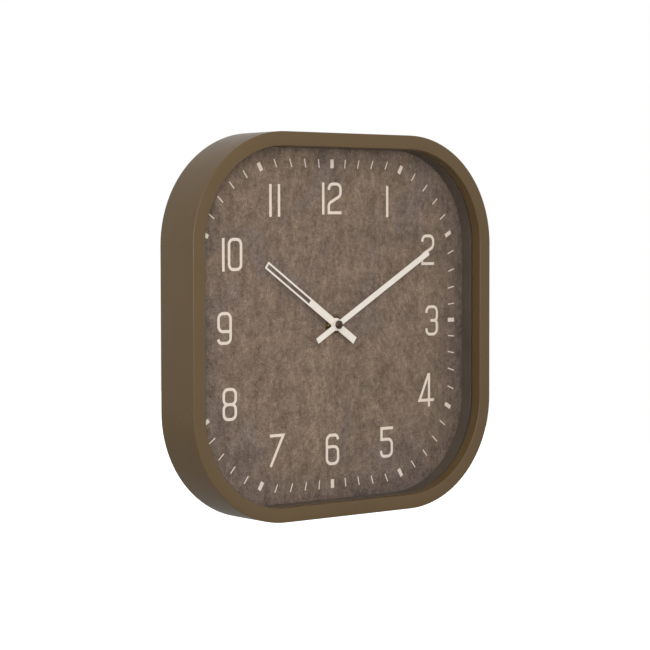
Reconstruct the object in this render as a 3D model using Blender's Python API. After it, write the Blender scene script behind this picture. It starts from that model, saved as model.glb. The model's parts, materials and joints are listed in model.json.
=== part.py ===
"""Wall clock with a deep square case, round corners and a quartz movement.

The frame: +Z up, the dial faces -Y, and the origin lies on the hand arbor at the
dial's face, within a millimetre of the middle of the case. All lengths are in metres.
Angles of hands, gears and holes are clockwise from twelve, as the dial is read.
"""
import math

import bmesh
import bpy
from mathutils import Matrix, Vector
from mathutils.geometry import tessellate_polygon

MM = 0.001

# ---------------------------------------------------------------- clearances
REST_GAP = 0.3 * MM            # between faces that rest on each other
SLIP_GAP = 0.15 * MM           # a shaft in its tube, all round
PIVOT_GAP = 0.2 * MM           # a pivot in its hole, all round
SIDE_GAP = 0.4 * MM            # beside a part dropped into a pocket

# ---------------------------------------------------------------- case
CASE_HALF = 150.0 * MM         # half of the overall width and height
CASE_DEPTH = 43.0 * MM
CASE_CORNER = 87.0 * MM        # outer corner radius
CASE_WALL = 2.2 * MM
FRONT_WALL = 2.2 * MM
RIM_WIDTH = 11.2 * MM          # front face, from the outer side to the opening
LIP_WALL = 1.4 * MM
EDGE_ROUND = 0.9 * MM
DIAL_RECESS = 22.5 * MM        # front plane to the dial's face
CORNER_STEPS = 12

# ---------------------------------------------------------------- what the case holds
BOSS_RADIUS = 2.9 * MM
BOSS_BITE = 0.25 * MM          # how far a boss runs into the side wall
LENS_THICKNESS = 1.5 * MM
DIAL_THICKNESS = 2.5 * MM
PANEL_THICKNESS = 2.0 * MM
SKIRT_WALL = 2.0 * MM
PANEL_RECESS = 2.4 * MM        # rear rim of the case to the cover's rear face
COVER_SCREW_RADIUS = 1.2 * MM
COVER_HEAD_RADIUS = 2.4 * MM
COVER_HEAD_HEIGHT = 1.2 * MM
COVER_SCREW_BITE = 8.0 * MM
SCREW_OFFSET = 48.0 * MM       # cover screws either side of each side's middle

# ---------------------------------------------------------------- hanger
HANGER_HEIGHT = 112.0 * MM     # keyhole centre above the hand arbor
HANGER_WIDTH = 52.0 * MM
HANGER_TALL = 24.0 * MM
HANGER_THICKNESS = 1.2 * MM
KEYHOLE_RADIUS = 4.6 * MM
KEYHOLE_SLOT = 2.3 * MM        # half width of the neck
KEYHOLE_RISE = 7.5 * MM
HANGER_SCREW_SPREAD = 19.0 * MM
HANGER_SCREW_RADIUS = 1.3 * MM
HANGER_HEAD_RADIUS = 2.6 * MM
HANGER_HEAD_HEIGHT = 0.7 * MM

# ---------------------------------------------------------------- movement housing
MOVEMENT_HALF = 28.0 * MM
MOVEMENT_DEPTH = 15.2 * MM
MOVEMENT_WALL = 1.2 * MM
WASHER_THICKNESS = 0.8 * MM    # rubber washer between dial and movement
BAY_ROOM = 0.7 * MM            # bay height beyond the battery's diameter
BAY_TOP = -11.6 * MM           # inside top of the battery bay, below the wheels
BAY_FLOOR = 0.8 * MM
COVER_PLATE = 1.2 * MM
BATTERY_RADIUS = 7.25 * MM
BATTERY_LENGTH = 49.2 * MM
BATTERY_NUB_RADIUS = 2.7 * MM
BATTERY_NUB = 1.0 * MM
CONTACT_SHEET = 0.4 * MM
LEAF_SHEET = 0.25 * MM          # spring leaf of the negative contact

# ---------------------------------------------------------------- arbors and stack
BUSHING_RADIUS = 3.9 * MM
BUSHING_BORE = 2.6 * MM
BUSHING_REACH = 3.65 * MM      # in front of the dial
BUSHING_FLANGE = 5.8 * MM
NUT_CORNER = 6.2 * MM
NUT_HEIGHT = 2.4 * MM
FRONT_WASHER_RADIUS = 8.0 * MM
FRONT_WASHER_THICKNESS = 0.5 * MM
HOUR_TUBE_RADIUS = 2.4 * MM
HOUR_TUBE_BORE = 1.75 * MM
MINUTE_ARBOR_RADIUS = 1.55 * MM
MINUTE_THREAD_RADIUS = 1.3 * MM
PIVOT_RADIUS = 0.35 * MM
ARBOR_RADIUS = 0.6 * MM

# ---------------------------------------------------------------- hands
READ_HOUR = 10                 # the time that the hands show
READ_MINUTE = 9.9
HOUR_FACE = 5.1 * MM           # blade's face in front of the dial
MINUTE_FACE = 7.9 * MM
BLADE = 0.5 * MM
HOUR_LENGTH = 83.7 * MM
HOUR_TAIL = 23.5 * MM
HOUR_WIDTH = 6.0 * MM
HOUR_HUB = 5.15 * MM
SLOT_START = 32.0 * MM
SLOT_FRAME = 1.45 * MM         # metal left round the slot
MINUTE_LENGTH = 110.4 * MM
MINUTE_TAIL = 24.6 * MM
MINUTE_WIDTH = 4.65 * MM
MINUTE_COLLET = 3.7 * MM
CAP_RADIUS = 3.3 * MM
CAP_HEIGHT = 2.2 * MM
CAP_ROOM = 1.05 * MM           # between the cap nut and the lens

# ---------------------------------------------------------------- gears
MOTION_MODULE = 0.4375 * MM    # cannon pinion and motion wheel
HOUR_MODULE = 0.35 * MM        # motion pinion and hour wheel
CENTRE_MODULE = 0.3 * MM       # third pinion and centre wheel
THIRD_MODULE = 0.3176 * MM     # second pinion and third wheel
SECOND_MODULE = 0.35 * MM      # intermediate pinion and second wheel
ROTOR_MODULE = 0.3 * MM        # rotor pinion and intermediate wheel
CANNON_TEETH = 12
MOTION_TEETH = 36
MOTION_PINION_TEETH = 12
HOUR_TEETH = 48
KNOB_TEETH = 12
CENTRE_TEETH = 64
PINION_TEETH = 8
THIRD_TEETH = 60
SECOND_TEETH = 40
INTERMEDIATE_TEETH = 48
MOTION_ANGLE = 70.0            # where each arbor stands from the one before
KNOB_ANGLE = 40.0
THIRD_ANGLE = 270.0
INTERMEDIATE_ANGLE = 35.0
ROTOR_ANGLE = 335.0
WHEEL = 0.8 * MM               # wheel thickness
LAYER = 1.65 * MM              # wheel to wheel, front to rear
PINION_OVERHANG = 0.2 * MM     # a pinion is longer than its wheel on each side
MAGNET_RADIUS = 2.8 * MM
MAGNET_LENGTH = 2.4 * MM
STATOR_SHEET = 0.8 * MM
COIL_RADIUS = 3.2 * MM
COIL_HALF = 9.5 * MM
COIL_HEIGHT = 23.0 * MM        # coil axis above the hand arbor
KNOB_RADIUS = 4.6 * MM
KNOB_HEAD = 1.0 * MM

# ---------------------------------------------------------------- derived planes (y)
FRONT = -DIAL_RECESS
REAR = FRONT + CASE_DEPTH
LENS_REAR = -(MINUTE_FACE + SLIP_GAP + CAP_HEIGHT + CAP_ROOM)
LENS_FRONT = LENS_REAR - LENS_THICKNESS
LIP_REAR = LENS_FRONT - REST_GAP
DIAL_REAR = DIAL_THICKNESS
PANEL_REAR = REAR - PANEL_RECESS
PANEL_FRONT = PANEL_REAR - PANEL_THICKNESS
MOVEMENT_FRONT = DIAL_REAR + REST_GAP + WASHER_THICKNESS + REST_GAP
MOVEMENT_REAR = MOVEMENT_FRONT + MOVEMENT_DEPTH
CHAMBER_FRONT = MOVEMENT_FRONT + MOVEMENT_WALL
COVER_FRONT = MOVEMENT_REAR - COVER_PLATE
OPENING_HALF = CASE_HALF - RIM_WIDTH
LIP_BACK_HALF = OPENING_HALF + LIP_WALL
WALL_INNER = CASE_HALF - CASE_WALL
BOSS_HALF = WALL_INNER - BOSS_RADIUS + BOSS_BITE
FIT_HALF = BOSS_HALF - BOSS_RADIUS - REST_GAP   # lens, spacer, dial and skirt stay inside this
CORNER_CENTRE = CASE_HALF - CASE_CORNER
CHAMBER_HALF = MOVEMENT_HALF - MOVEMENT_WALL
BAY_BOTTOM = BAY_TOP - 2 * BATTERY_RADIUS - BAY_ROOM
MOVEMENT_LOW = BAY_BOTTOM - MOVEMENT_WALL
DIVIDER_TOP = BAY_TOP + MOVEMENT_WALL
BAY_AXIS_Z = (BAY_BOTTOM + BAY_TOP) / 2
BATTERY_Y = MOVEMENT_FRONT + BAY_FLOOR + SIDE_GAP + BATTERY_RADIUS
HOUR_LAYER = CHAMBER_FRONT + 0.5 * MM
LAYERS = [HOUR_LAYER + LAYER * step for step in range(6)]


def named(name, mesh, place=(0.0, 0.0, 0.0), material=None, smooth=35.0):
    """Put a mesh in the scene as one object with its origin at the given point."""
    mesh.transform(Matrix.Translation(-Vector(place)))
    mesh.name = name
    if smooth:
        mesh.shade_smooth()
        mesh.set_sharp_from_angle(angle=math.radians(smooth))
    body = bpy.data.objects.new(name, mesh)
    body.location = place
    bpy.context.scene.collection.objects.link(body)
    if material is not None:
        mesh.materials.clear()
        mesh.materials.append(material)
    return body


def paint(name, colour, roughness, metallic=0.0, alpha=1.0):
    """A Principled material with linear colour."""
    material = bpy.data.materials.new(name)
    material.use_nodes = True
    shader = material.node_tree.nodes["Principled BSDF"]
    shader.inputs["Base Color"].default_value = (*colour, 1.0)
    shader.inputs["Roughness"].default_value = roughness
    shader.inputs["Metallic"].default_value = metallic
    shader.inputs["Alpha"].default_value = alpha
    material.diffuse_color = (*colour, alpha)
    return material


def finish_mesh(bm):
    """Merge doubles, turn every face outward and hand back a mesh."""
    bmesh.ops.remove_doubles(bm, verts=bm.verts, dist=1e-7)
    bmesh.ops.recalc_face_normals(bm, faces=bm.faces)
    mesh = bpy.data.meshes.new("mesh")
    bm.to_mesh(mesh)
    bm.free()
    return mesh


def square_loop(half, steps=CORNER_STEPS):
    """Corner arcs about fixed centres, so that loops of any half size stay parallel."""
    radius = half - CORNER_CENTRE
    points = []
    for quarter in range(4):
        turn = math.radians(90 * quarter)
        sx = CORNER_CENTRE * (math.cos(turn) - math.sin(turn))
        sz = CORNER_CENTRE * (math.sin(turn) + math.cos(turn))
        for step in range(steps + 1):
            angle = turn + math.radians(90) * step / steps
            points.append((sx + radius * math.cos(angle), sz + radius * math.sin(angle)))
    return points


def box_loop(x0, x1, z0, z1, radius=0.0, steps=4):
    """A rectangle, with round corners when a radius is given."""
    if radius <= 0:
        return [(x1, z0), (x1, z1), (x0, z1), (x0, z0)]
    points = []
    centres = ((x1 - radius, z1 - radius), (x0 + radius, z1 - radius),
               (x0 + radius, z0 + radius), (x1 - radius, z0 + radius))
    for quarter, (cx, cz) in enumerate(centres):
        for step in range(steps + 1):
            angle = math.radians(90 * quarter + 90 * step / steps)
            points.append((cx + radius * math.cos(angle), cz + radius * math.sin(angle)))
    return points


def circle_loop(radius, centre=(0.0, 0.0), steps=32, phase=0.0):
    """Points of a circle, counter-clockwise from +X."""
    turn = 2 * math.pi / steps
    return [(centre[0] + radius * math.cos(phase + turn * step),
             centre[1] + radius * math.sin(phase + turn * step)) for step in range(steps)]


def swept_ring(profile):
    """Carry a closed (half size, y) profile round the case's square path."""
    bm = bmesh.new()
    rings = [[bm.verts.new((x, y, z)) for x, z in square_loop(half)] for half, y in profile]
    count = len(rings[0])
    for index, ring in enumerate(rings):
        after = rings[(index + 1) % len(rings)]
        for step in range(count):
            nxt = (step + 1) % count
            bm.faces.new((ring[step], ring[nxt], after[nxt], after[step]))
    return finish_mesh(bm)


def plate(outer, holes, y0, y1):
    """Extrude a flat outline with holes from y0 to y1."""
    loops = [[Vector((x, z, 0.0)) for x, z in loop] for loop in [outer] + list(holes)]
    flat = [point for loop in loops for point in loop]
    bm = bmesh.new()
    front = [bm.verts.new((point.x, y0, point.y)) for point in flat]
    rear = [bm.verts.new((point.x, y1, point.y)) for point in flat]
    for a, b, c in tessellate_polygon(loops):
        bm.faces.new((front[a], front[b], front[c]))
        bm.faces.new((rear[c], rear[b], rear[a]))
    start = 0
    for loop in loops:
        size = len(loop)
        for step in range(size):
            a, b = start + step, start + (step + 1) % size
            bm.faces.new((front[a], front[b], rear[b], rear[a]))
        start += size
    return finish_mesh(bm)


def turned(profile, steps=32, closed=False, phase=0.0):
    """Turn a (radius, y) profile about the Y axis. Open profiles end on the axis."""
    bm = bmesh.new()
    rings = []
    for radius, y in profile:
        if radius < 1e-9:
            rings.append([bm.verts.new((0.0, y, 0.0))])
        else:
            loop = circle_loop(radius, steps=steps, phase=phase)
            rings.append([bm.verts.new((x, y, z)) for x, z in loop])
    last = len(rings) if closed else len(rings) - 1
    for index in range(last):
        one, two = rings[index], rings[(index + 1) % len(rings)]
        for step in range(steps):
            nxt = (step + 1) % steps
            corners = [one[step % len(one)], one[nxt % len(one)],
                       two[nxt % len(two)], two[step % len(two)]]
            unique = []
            for vert in corners:
                if vert not in unique:
                    unique.append(vert)
            bm.faces.new(unique)
    return finish_mesh(bm)


def moved(mesh, x=0.0, y=0.0, z=0.0):
    """Shift a mesh."""
    mesh.transform(Matrix.Translation((x, y, z)))
    return mesh


def union(base, *others):
    """Join closed solids into one body."""
    return combine(base, others, 'UNION')


def cut(base, *others):
    """Take closed solids away from one body."""
    return combine(base, others, 'DIFFERENCE')


def combine(base, others, operation):
    """Exact Boolean of one mesh with several, applied in turn."""
    result = bpy.data.objects.new("work", base)
    bpy.context.scene.collection.objects.link(result)
    for other in others:
        tool = bpy.data.objects.new("tool", other)
        bpy.context.scene.collection.objects.link(tool)
        modifier = result.modifiers.new("Boolean", 'BOOLEAN')
        modifier.operation = operation
        modifier.solver = 'EXACT'
        modifier.object = tool
        bpy.context.view_layer.update()
        graph = bpy.context.evaluated_depsgraph_get()
        mesh = bpy.data.meshes.new_from_object(result.evaluated_get(graph), depsgraph=graph)
        result.modifiers.clear()
        result.data = mesh
        bpy.data.objects.remove(tool)
        bpy.data.meshes.remove(other)
    mesh = result.data
    bpy.data.objects.remove(result)
    bm = bmesh.new()
    bm.from_mesh(mesh)
    return finish_mesh(bm)


def block(x0, x1, y0, y1, z0, z1, radius=0.0):
    """A box, with round corners seen from the front when a radius is given."""
    return plate(box_loop(x0, x1, z0, z1, radius), [], y0, y1)


def rod(radius, y0, y1, x=0.0, z=0.0, steps=24):
    """A plain round bar along Y."""
    return moved(turned([(0, y0), (radius, y0), (radius, y1), (0, y1)], steps), x=x, z=z)


def polar(distance, angle, start=(0.0, 0.0)):
    """The point at a clockwise angle from twelve."""
    return (start[0] + distance * math.sin(math.radians(angle)),
            start[1] + distance * math.cos(math.radians(angle)))


def tooth_loop(teeth, module, phase):
    """Gear outline: tapered teeth with backlash, one of them at the given clockwise angle."""
    pitch = 360.0 / teeth
    tip = module * (teeth / 2 + 0.82)
    root = module * (teeth / 2 - 1.12)
    points = []
    for tooth in range(teeth):
        centre = phase + tooth * pitch
        for radius, share in ((root, -0.27), (tip, -0.095), (tip, 0.095), (root, 0.27)):
            points.append(polar(radius, centre + share * pitch))
    return points[::-1]


def gear(teeth, module, phase, y0, y1, bore=0.0, bore_steps=16):
    """A toothed disc with an optional bore."""
    holes = [circle_loop(bore, steps=bore_steps)] if bore else []
    return plate(tooth_loop(teeth, module, phase), holes, y0, y1)


def mating_phase(driver_teeth, driver_phase, angle, teeth):
    """Phase that puts a tooth gap of the second gear on a tooth of the first."""
    fraction = (angle - driver_phase) * driver_teeth / 360.0
    return angle + 180.0 - (360.0 / teeth) * (0.5 - fraction)


def hand_blade(length, tail, width, hub, bore, slot=None):
    """Outline of a straight blade pointing at twelve, with a round hub."""
    half = width / 2
    points = []
    if hub > half:
        reach = math.sqrt(hub * hub - half * half)
        spread = math.degrees(math.asin(half / hub))
        points += [(half, reach), (half, length), (-half, length), (-half, reach)]
        steps = 8
        for step in range(1, steps):
            angle = 360 - spread - (180 - 2 * spread) * step / steps
            points.append(polar(hub, angle))
        points += [(-half, -reach), (-half, -tail), (half, -tail), (half, -reach)]
        for step in range(1, steps):
            angle = 180 - spread - (180 - 2 * spread) * step / steps
            points.append(polar(hub, angle))
    else:
        points = [(half, -tail), (half, length), (-half, length), (-half, -tail)]
    holes = [circle_loop(bore, steps=24)]
    if slot:
        holes.append(box_loop(-half + slot[1], half - slot[1], slot[0], length - slot[1]))
    return points, holes


def turn_mesh(mesh, angle):
    """Turn a mesh clockwise about the Y axis, as seen from the front."""
    mesh.transform(Matrix.Rotation(math.radians(angle), 4, 'Y'))
    return mesh


def case_parts(paints):
    """Case, lens, spacer ring, dial, back cover, its screws and the hanger."""
    soft = EDGE_ROUND * 0.3
    shell = swept_ring([
        (CASE_HALF, REAR), (CASE_HALF, FRONT + EDGE_ROUND), (CASE_HALF - soft, FRONT + soft),
        (CASE_HALF - EDGE_ROUND, FRONT), (OPENING_HALF + EDGE_ROUND, FRONT),
        (OPENING_HALF + soft, FRONT + soft), (OPENING_HALF, FRONT + EDGE_ROUND),
        (OPENING_HALF, LIP_REAR), (LIP_BACK_HALF, LIP_REAR), (LIP_BACK_HALF, FRONT + FRONT_WALL),
        (WALL_INNER, FRONT + FRONT_WALL), (WALL_INNER, REAR)])
    spots = []
    for quarter in range(4):
        for side in (-1, 1):
            x, z = side * SCREW_OFFSET, BOSS_HALF
            for _ in range(quarter):
                x, z = z, -x
            spots.append((x, z))
    boss_rear = PANEL_FRONT - REST_GAP
    bosses = [rod(BOSS_RADIUS, FRONT + FRONT_WALL / 2, boss_rear, x, z, 16) for x, z in spots]
    bores = [rod(COVER_SCREW_RADIUS + PIVOT_GAP, boss_rear - COVER_SCREW_BITE - 1 * MM,
                 boss_rear + 1 * MM, x, z, 12) for x, z in spots]
    named("case", cut(union(shell, *bosses), *bores), material=paints["case"])

    named("lens", plate(square_loop(FIT_HALF), [], LENS_FRONT, LENS_REAR),
          material=paints["glass"])
    spacer_inner = OPENING_HALF    # flush with the opening's wall
    named("spacer_ring", swept_ring([
        (FIT_HALF, -REST_GAP), (FIT_HALF, LENS_REAR + REST_GAP),
        (spacer_inner, LENS_REAR + REST_GAP), (spacer_inner, -REST_GAP)]),
        material=paints["spacer"])
    dial_bore = circle_loop(BUSHING_RADIUS + PIVOT_GAP, steps=32)
    named("dial_plate", plate(square_loop(FIT_HALF), [dial_bore], 0.0, DIAL_REAR),
          material=paints["dial"])

    window = MOVEMENT_HALF + 1.0 * MM
    flange = WALL_INNER - REST_GAP
    pocket = box_loop(-7 * MM, 7 * MM, HANGER_HEIGHT - 7 * MM, HANGER_HEIGHT + 13 * MM, 2 * MM)
    screw_holes = [circle_loop(COVER_SCREW_RADIUS + PIVOT_GAP, spot, 12) for spot in spots]
    hanger_spots = [(side * HANGER_SCREW_SPREAD, HANGER_HEIGHT) for side in (-1, 1)]
    hanger_holes = [circle_loop(HANGER_SCREW_RADIUS + PIVOT_GAP, spot, 12)
                    for spot in hanger_spots]
    panel = plate(square_loop(flange),
                  [box_loop(-window, window, MOVEMENT_LOW - 1.0 * MM, window, 1.5 * MM), pocket]
                  + screw_holes + hanger_holes, PANEL_FRONT, PANEL_REAR)
    skirt = swept_ring([
        (FIT_HALF, PANEL_FRONT + PANEL_THICKNESS / 2), (FIT_HALF, DIAL_REAR + REST_GAP),
        (FIT_HALF - SKIRT_WALL, DIAL_REAR + REST_GAP),
        (FIT_HALF - SKIRT_WALL, PANEL_FRONT + PANEL_THICKNESS / 2)])
    named("back_cover", union(panel, skirt), material=paints["cover"])
    for number, (x, z) in enumerate(spots):
        head = PANEL_REAR + REST_GAP
        body = turned([(0, head - PANEL_THICKNESS - COVER_SCREW_BITE), (COVER_SCREW_RADIUS * 0.4,
                      head - PANEL_THICKNESS - COVER_SCREW_BITE),
                       (COVER_SCREW_RADIUS, head - PANEL_THICKNESS - COVER_SCREW_BITE + 1 * MM),
                       (COVER_SCREW_RADIUS, head), (COVER_HEAD_RADIUS, head),
                       (COVER_HEAD_RADIUS, head + COVER_HEAD_HEIGHT * 0.5),
                       (COVER_HEAD_RADIUS * 0.7, head + COVER_HEAD_HEIGHT),
                       (0, head + COVER_HEAD_HEIGHT)], 12)
        named(f"cover_screw_{number + 1}", moved(body, x=x, z=z), (x, head, z),
              paints["steel"])

    keyhole = []
    for step in range(13):
        spread = math.degrees(math.asin(KEYHOLE_SLOT / KEYHOLE_RADIUS))
        angle = spread + (360 - 2 * spread) * step / 12
        keyhole.append(polar(KEYHOLE_RADIUS, angle, (0, HANGER_HEIGHT)))
    for step in range(7):
        angle = 270 + 180 * step / 6
        keyhole.append(polar(KEYHOLE_SLOT, angle, (0, HANGER_HEIGHT + KEYHOLE_RISE)))
    top = HANGER_HEIGHT + HANGER_TALL * 0.6
    bottom = HANGER_HEIGHT - HANGER_TALL * 0.4
    hanger_front = PANEL_REAR + REST_GAP
    hanger_rear = hanger_front + HANGER_THICKNESS
    named("hanger_plate", plate(
        box_loop(-HANGER_WIDTH / 2, HANGER_WIDTH / 2, bottom, top, 4 * MM),
        [keyhole] + hanger_holes, hanger_front, hanger_rear), material=paints["steel"])
    for side, (x, z) in zip(("left", "right"), hanger_spots):
        body = turned([(0, PANEL_FRONT - 4 * MM), (HANGER_SCREW_RADIUS, PANEL_FRONT - 3 * MM),
                       (HANGER_SCREW_RADIUS, hanger_rear + REST_GAP / 2),
                       (HANGER_HEAD_RADIUS, hanger_rear + REST_GAP / 2),
                       (HANGER_HEAD_RADIUS * 0.8, hanger_rear + REST_GAP / 2
                        + HANGER_HEAD_HEIGHT * 0.7), (0, hanger_rear + HANGER_HEAD_HEIGHT)], 12)
        named(f"hanger_screw_{side}", moved(body, x=x, z=z), (x, hanger_rear, z),
              paints["steel"])


def gear_places():
    """Arbor positions in the dial's plane, and tooth phases."""
    hand_minute = READ_MINUTE * 6.0
    motion = polar(MOTION_MODULE * (CANNON_TEETH + MOTION_TEETH) / 2, MOTION_ANGLE)
    knob = polar(MOTION_MODULE * (KNOB_TEETH + MOTION_TEETH) / 2, KNOB_ANGLE, motion)
    third = polar(THIRD_MODULE * (PINION_TEETH + THIRD_TEETH) / 2, THIRD_ANGLE)
    middle = polar(SECOND_MODULE * (PINION_TEETH + SECOND_TEETH) / 2, INTERMEDIATE_ANGLE)
    rotor = polar(ROTOR_MODULE * (PINION_TEETH + INTERMEDIATE_TEETH) / 2, ROTOR_ANGLE, middle)
    cannon_phase = hand_minute
    motion_phase = mating_phase(CANNON_TEETH, cannon_phase, MOTION_ANGLE, MOTION_TEETH)
    knob_phase = mating_phase(MOTION_TEETH, motion_phase, KNOB_ANGLE, KNOB_TEETH)
    hour_phase = mating_phase(MOTION_PINION_TEETH, motion_phase, MOTION_ANGLE + 180, HOUR_TEETH)
    third_pinion = 0.0
    centre_phase = mating_phase(PINION_TEETH, third_pinion, THIRD_ANGLE + 180, CENTRE_TEETH)
    second_phase = mating_phase(THIRD_TEETH, third_pinion, THIRD_ANGLE + 180, PINION_TEETH)
    middle_phase = mating_phase(SECOND_TEETH, second_phase, INTERMEDIATE_ANGLE, PINION_TEETH)
    rotor_phase = mating_phase(INTERMEDIATE_TEETH, middle_phase, ROTOR_ANGLE, PINION_TEETH)
    return {
        "motion": motion, "knob": knob, "third": third, "middle": middle, "rotor": rotor,
        "cannon_phase": cannon_phase, "motion_phase": motion_phase, "knob_phase": knob_phase,
        "hour_phase": hour_phase, "third_pinion": third_pinion, "centre_phase": centre_phase,
        "second_phase": second_phase, "middle_phase": middle_phase, "rotor_phase": rotor_phase}


def wheel_on_arbor(place, wheel, pinion, spans, extra=()):
    """A wheel and a pinion joined on a stepped arbor, drawn about the origin, then placed."""
    front_pivot, front, rear, rear_pivot = spans
    arbor = turned([(0, front_pivot), (PIVOT_RADIUS, front_pivot), (PIVOT_RADIUS, front),
                    (ARBOR_RADIUS, front), (ARBOR_RADIUS, rear), (PIVOT_RADIUS, rear),
                    (PIVOT_RADIUS, rear_pivot), (0, rear_pivot)], 12)
    body = union(arbor, pinion, wheel, *extra)
    return moved(body, x=place[0], z=place[1])


def movement_parts(paints):
    """The quartz movement behind the dial."""
    spot = gear_places()
    hour_y, motion_y, centre_y, third_y, second_y, middle_y = LAYERS
    pivot_hole = PIVOT_RADIUS + PIVOT_GAP
    pinion_low, pinion_high = -PINION_OVERHANG, WHEEL + PINION_OVERHANG
    cover_boss = COVER_FRONT - 1.2 * MM
    pivot_end = COVER_FRONT - 0.3 * MM

    # Housing: a tray open at the rear, a bay for the battery and posts for the arbors.
    tray = block(-MOVEMENT_HALF, MOVEMENT_HALF, MOVEMENT_FRONT, MOVEMENT_REAR,
                 MOVEMENT_LOW, MOVEMENT_HALF, 2.0 * MM)
    ledge = COVER_FRONT - REST_GAP
    chamber = block(-CHAMBER_HALF, CHAMBER_HALF, CHAMBER_FRONT, MOVEMENT_REAR + 1 * MM,
                    DIVIDER_TOP, CHAMBER_HALF)
    bay = block(-CHAMBER_HALF, CHAMBER_HALF, MOVEMENT_FRONT + BAY_FLOOR,
                MOVEMENT_REAR + 1 * MM, BAY_BOTTOM, BAY_TOP)
    seat = block(-MOVEMENT_HALF - 1 * MM, MOVEMENT_HALF + 1 * MM, ledge, MOVEMENT_REAR + 1 * MM,
                 BAY_TOP - REST_GAP, MOVEMENT_HALF + 1 * MM)
    flange_pocket = rod(BUSHING_FLANGE + PIVOT_GAP, CHAMBER_FRONT - 0.7 * MM,
                        CHAMBER_FRONT + 1 * MM, steps=32)
    shaft_hole = rod(BUSHING_RADIUS + PIVOT_GAP, MOVEMENT_FRONT - 1 * MM,
                     CHAMBER_FRONT + 1 * MM, steps=32)
    notches = [block(side * CHAMBER_HALF - 4.2 * MM * (side > 0), side * CHAMBER_HALF
                     + 4.2 * MM * (side < 0), ledge - 1.6 * MM, MOVEMENT_REAR + 1 * MM,
                     BAY_TOP - 2 * MM, DIVIDER_TOP + 1 * MM) for side in (-1, 1)]
    base = cut(tray, chamber, bay, seat, flange_pocket, shaft_hole, *notches)
    posts = []
    post_bores = []
    motion_pin = (ARBOR_RADIUS, motion_y + WHEEL + 0.3 * MM)
    posts.append(rod(motion_pin[0], CHAMBER_FRONT - 0.5 * MM, motion_pin[1], *spot["motion"],
                     steps=12))
    bearing_heights = {"third": centre_y - 0.5 * MM, "rotor": third_y - 1.9 * MM,
                       "knob": motion_y - PINION_OVERHANG - 0.35 * MM}
    for key, height in bearing_heights.items():
        posts.append(rod(1.3 * MM, CHAMBER_FRONT - 0.5 * MM, height, *spot[key], steps=12))
        post_bores.append(rod(pivot_hole, height - 1.0 * MM, height + 1 * MM, *spot[key],
                              steps=12))
    bridge_y = second_y - PINION_OVERHANG - 0.6 * MM - 0.8 * MM
    feet = ((20.8 * MM, 6.0 * MM), (19.5 * MM, -3.0 * MM))
    for foot in feet:
        posts.append(rod(1.5 * MM, CHAMBER_FRONT - 0.5 * MM, bridge_y - REST_GAP, *foot,
                         steps=12))
    named("movement_base", cut(union(base, *posts), *post_bores), material=paints["housing"])

    # Bridge: a flat bar on two feet that carries the intermediate wheel's front pivot.
    arms = []
    for foot in feet:
        dx, dz = foot[0] - spot["middle"][0], foot[1] - spot["middle"][1]
        span = math.hypot(dx, dz)
        bar = block(-1.5 * MM, 1.5 * MM, bridge_y, bridge_y + 0.8 * MM, 0, span)
        turn_mesh(bar, math.degrees(math.atan2(dx, dz)))
        arms.append(moved(bar, x=spot["middle"][0], z=spot["middle"][1]))
        arms.append(rod(1.9 * MM, bridge_y, bridge_y + 0.8 * MM, *foot, steps=16))
    hub = rod(1.9 * MM, bridge_y, bridge_y + 0.8 * MM, *spot["middle"], steps=16)
    bridge_bore = rod(pivot_hole, bridge_y - 1 * MM, bridge_y + 2 * MM, *spot["middle"], steps=12)
    named("train_bridge", cut(union(hub, *arms), bridge_bore), material=paints["brass"])

    # Rear cover with pivot bosses and the setting knob's hole.
    lid = block(-MOVEMENT_HALF, MOVEMENT_HALF, COVER_FRONT, MOVEMENT_REAR,
                BAY_TOP, MOVEMENT_HALF, 1.0 * MM)
    bosses = []
    cover_bores = []
    for place in ((0.0, 0.0), spot["third"], spot["middle"], spot["rotor"]):
        bosses.append(rod(1.3 * MM, cover_boss, COVER_FRONT + 0.4 * MM, *place, steps=12))
        cover_bores.append(rod(pivot_hole, cover_boss - 1 * MM, COVER_FRONT, *place, steps=12))
    knob_hole = rod(1.5 * MM + PIVOT_GAP, COVER_FRONT - 1 * MM, MOVEMENT_REAR + 1 * MM,
                    *spot["knob"], steps=20)
    named("movement_cover", cut(union(lid, *bosses), *cover_bores, knob_hole),
          material=paints["housing"])

    # Threaded bushing, its washers and nut.
    named("threaded_bushing", turned([
        (BUSHING_BORE, -BUSHING_REACH), (BUSHING_RADIUS - 0.3 * MM, -BUSHING_REACH),
        (BUSHING_RADIUS, -BUSHING_REACH + 0.3 * MM), (BUSHING_RADIUS, CHAMBER_FRONT - 0.55 * MM),
        (BUSHING_FLANGE, CHAMBER_FRONT - 0.55 * MM), (BUSHING_FLANGE, CHAMBER_FRONT),
        (BUSHING_BORE, CHAMBER_FRONT)], 32, closed=True), material=paints["brass"])
    ring = BUSHING_RADIUS + PIVOT_GAP
    named("rubber_washer", turned([
        (ring, DIAL_REAR + REST_GAP), (8.5 * MM, DIAL_REAR + REST_GAP),
        (8.5 * MM, DIAL_REAR + REST_GAP + WASHER_THICKNESS),
        (ring, DIAL_REAR + REST_GAP + WASHER_THICKNESS)], 32, closed=True),
        material=paints["rubber"])
    washer_front = -REST_GAP - FRONT_WASHER_THICKNESS
    named("mounting_washer", turned([
        (ring, washer_front), (FRONT_WASHER_RADIUS, washer_front),
        (FRONT_WASHER_RADIUS, -REST_GAP), (ring, -REST_GAP)], 32, closed=True),
        material=paints["brass"])
    nut_rear = washer_front - REST_GAP / 2
    named("mounting_nut", plate(
        circle_loop(NUT_CORNER, steps=6, phase=math.radians(12)),
        [circle_loop(ring, steps=24)], nut_rear - NUT_HEIGHT, nut_rear),
        material=paints["brass"], smooth=0)

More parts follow.
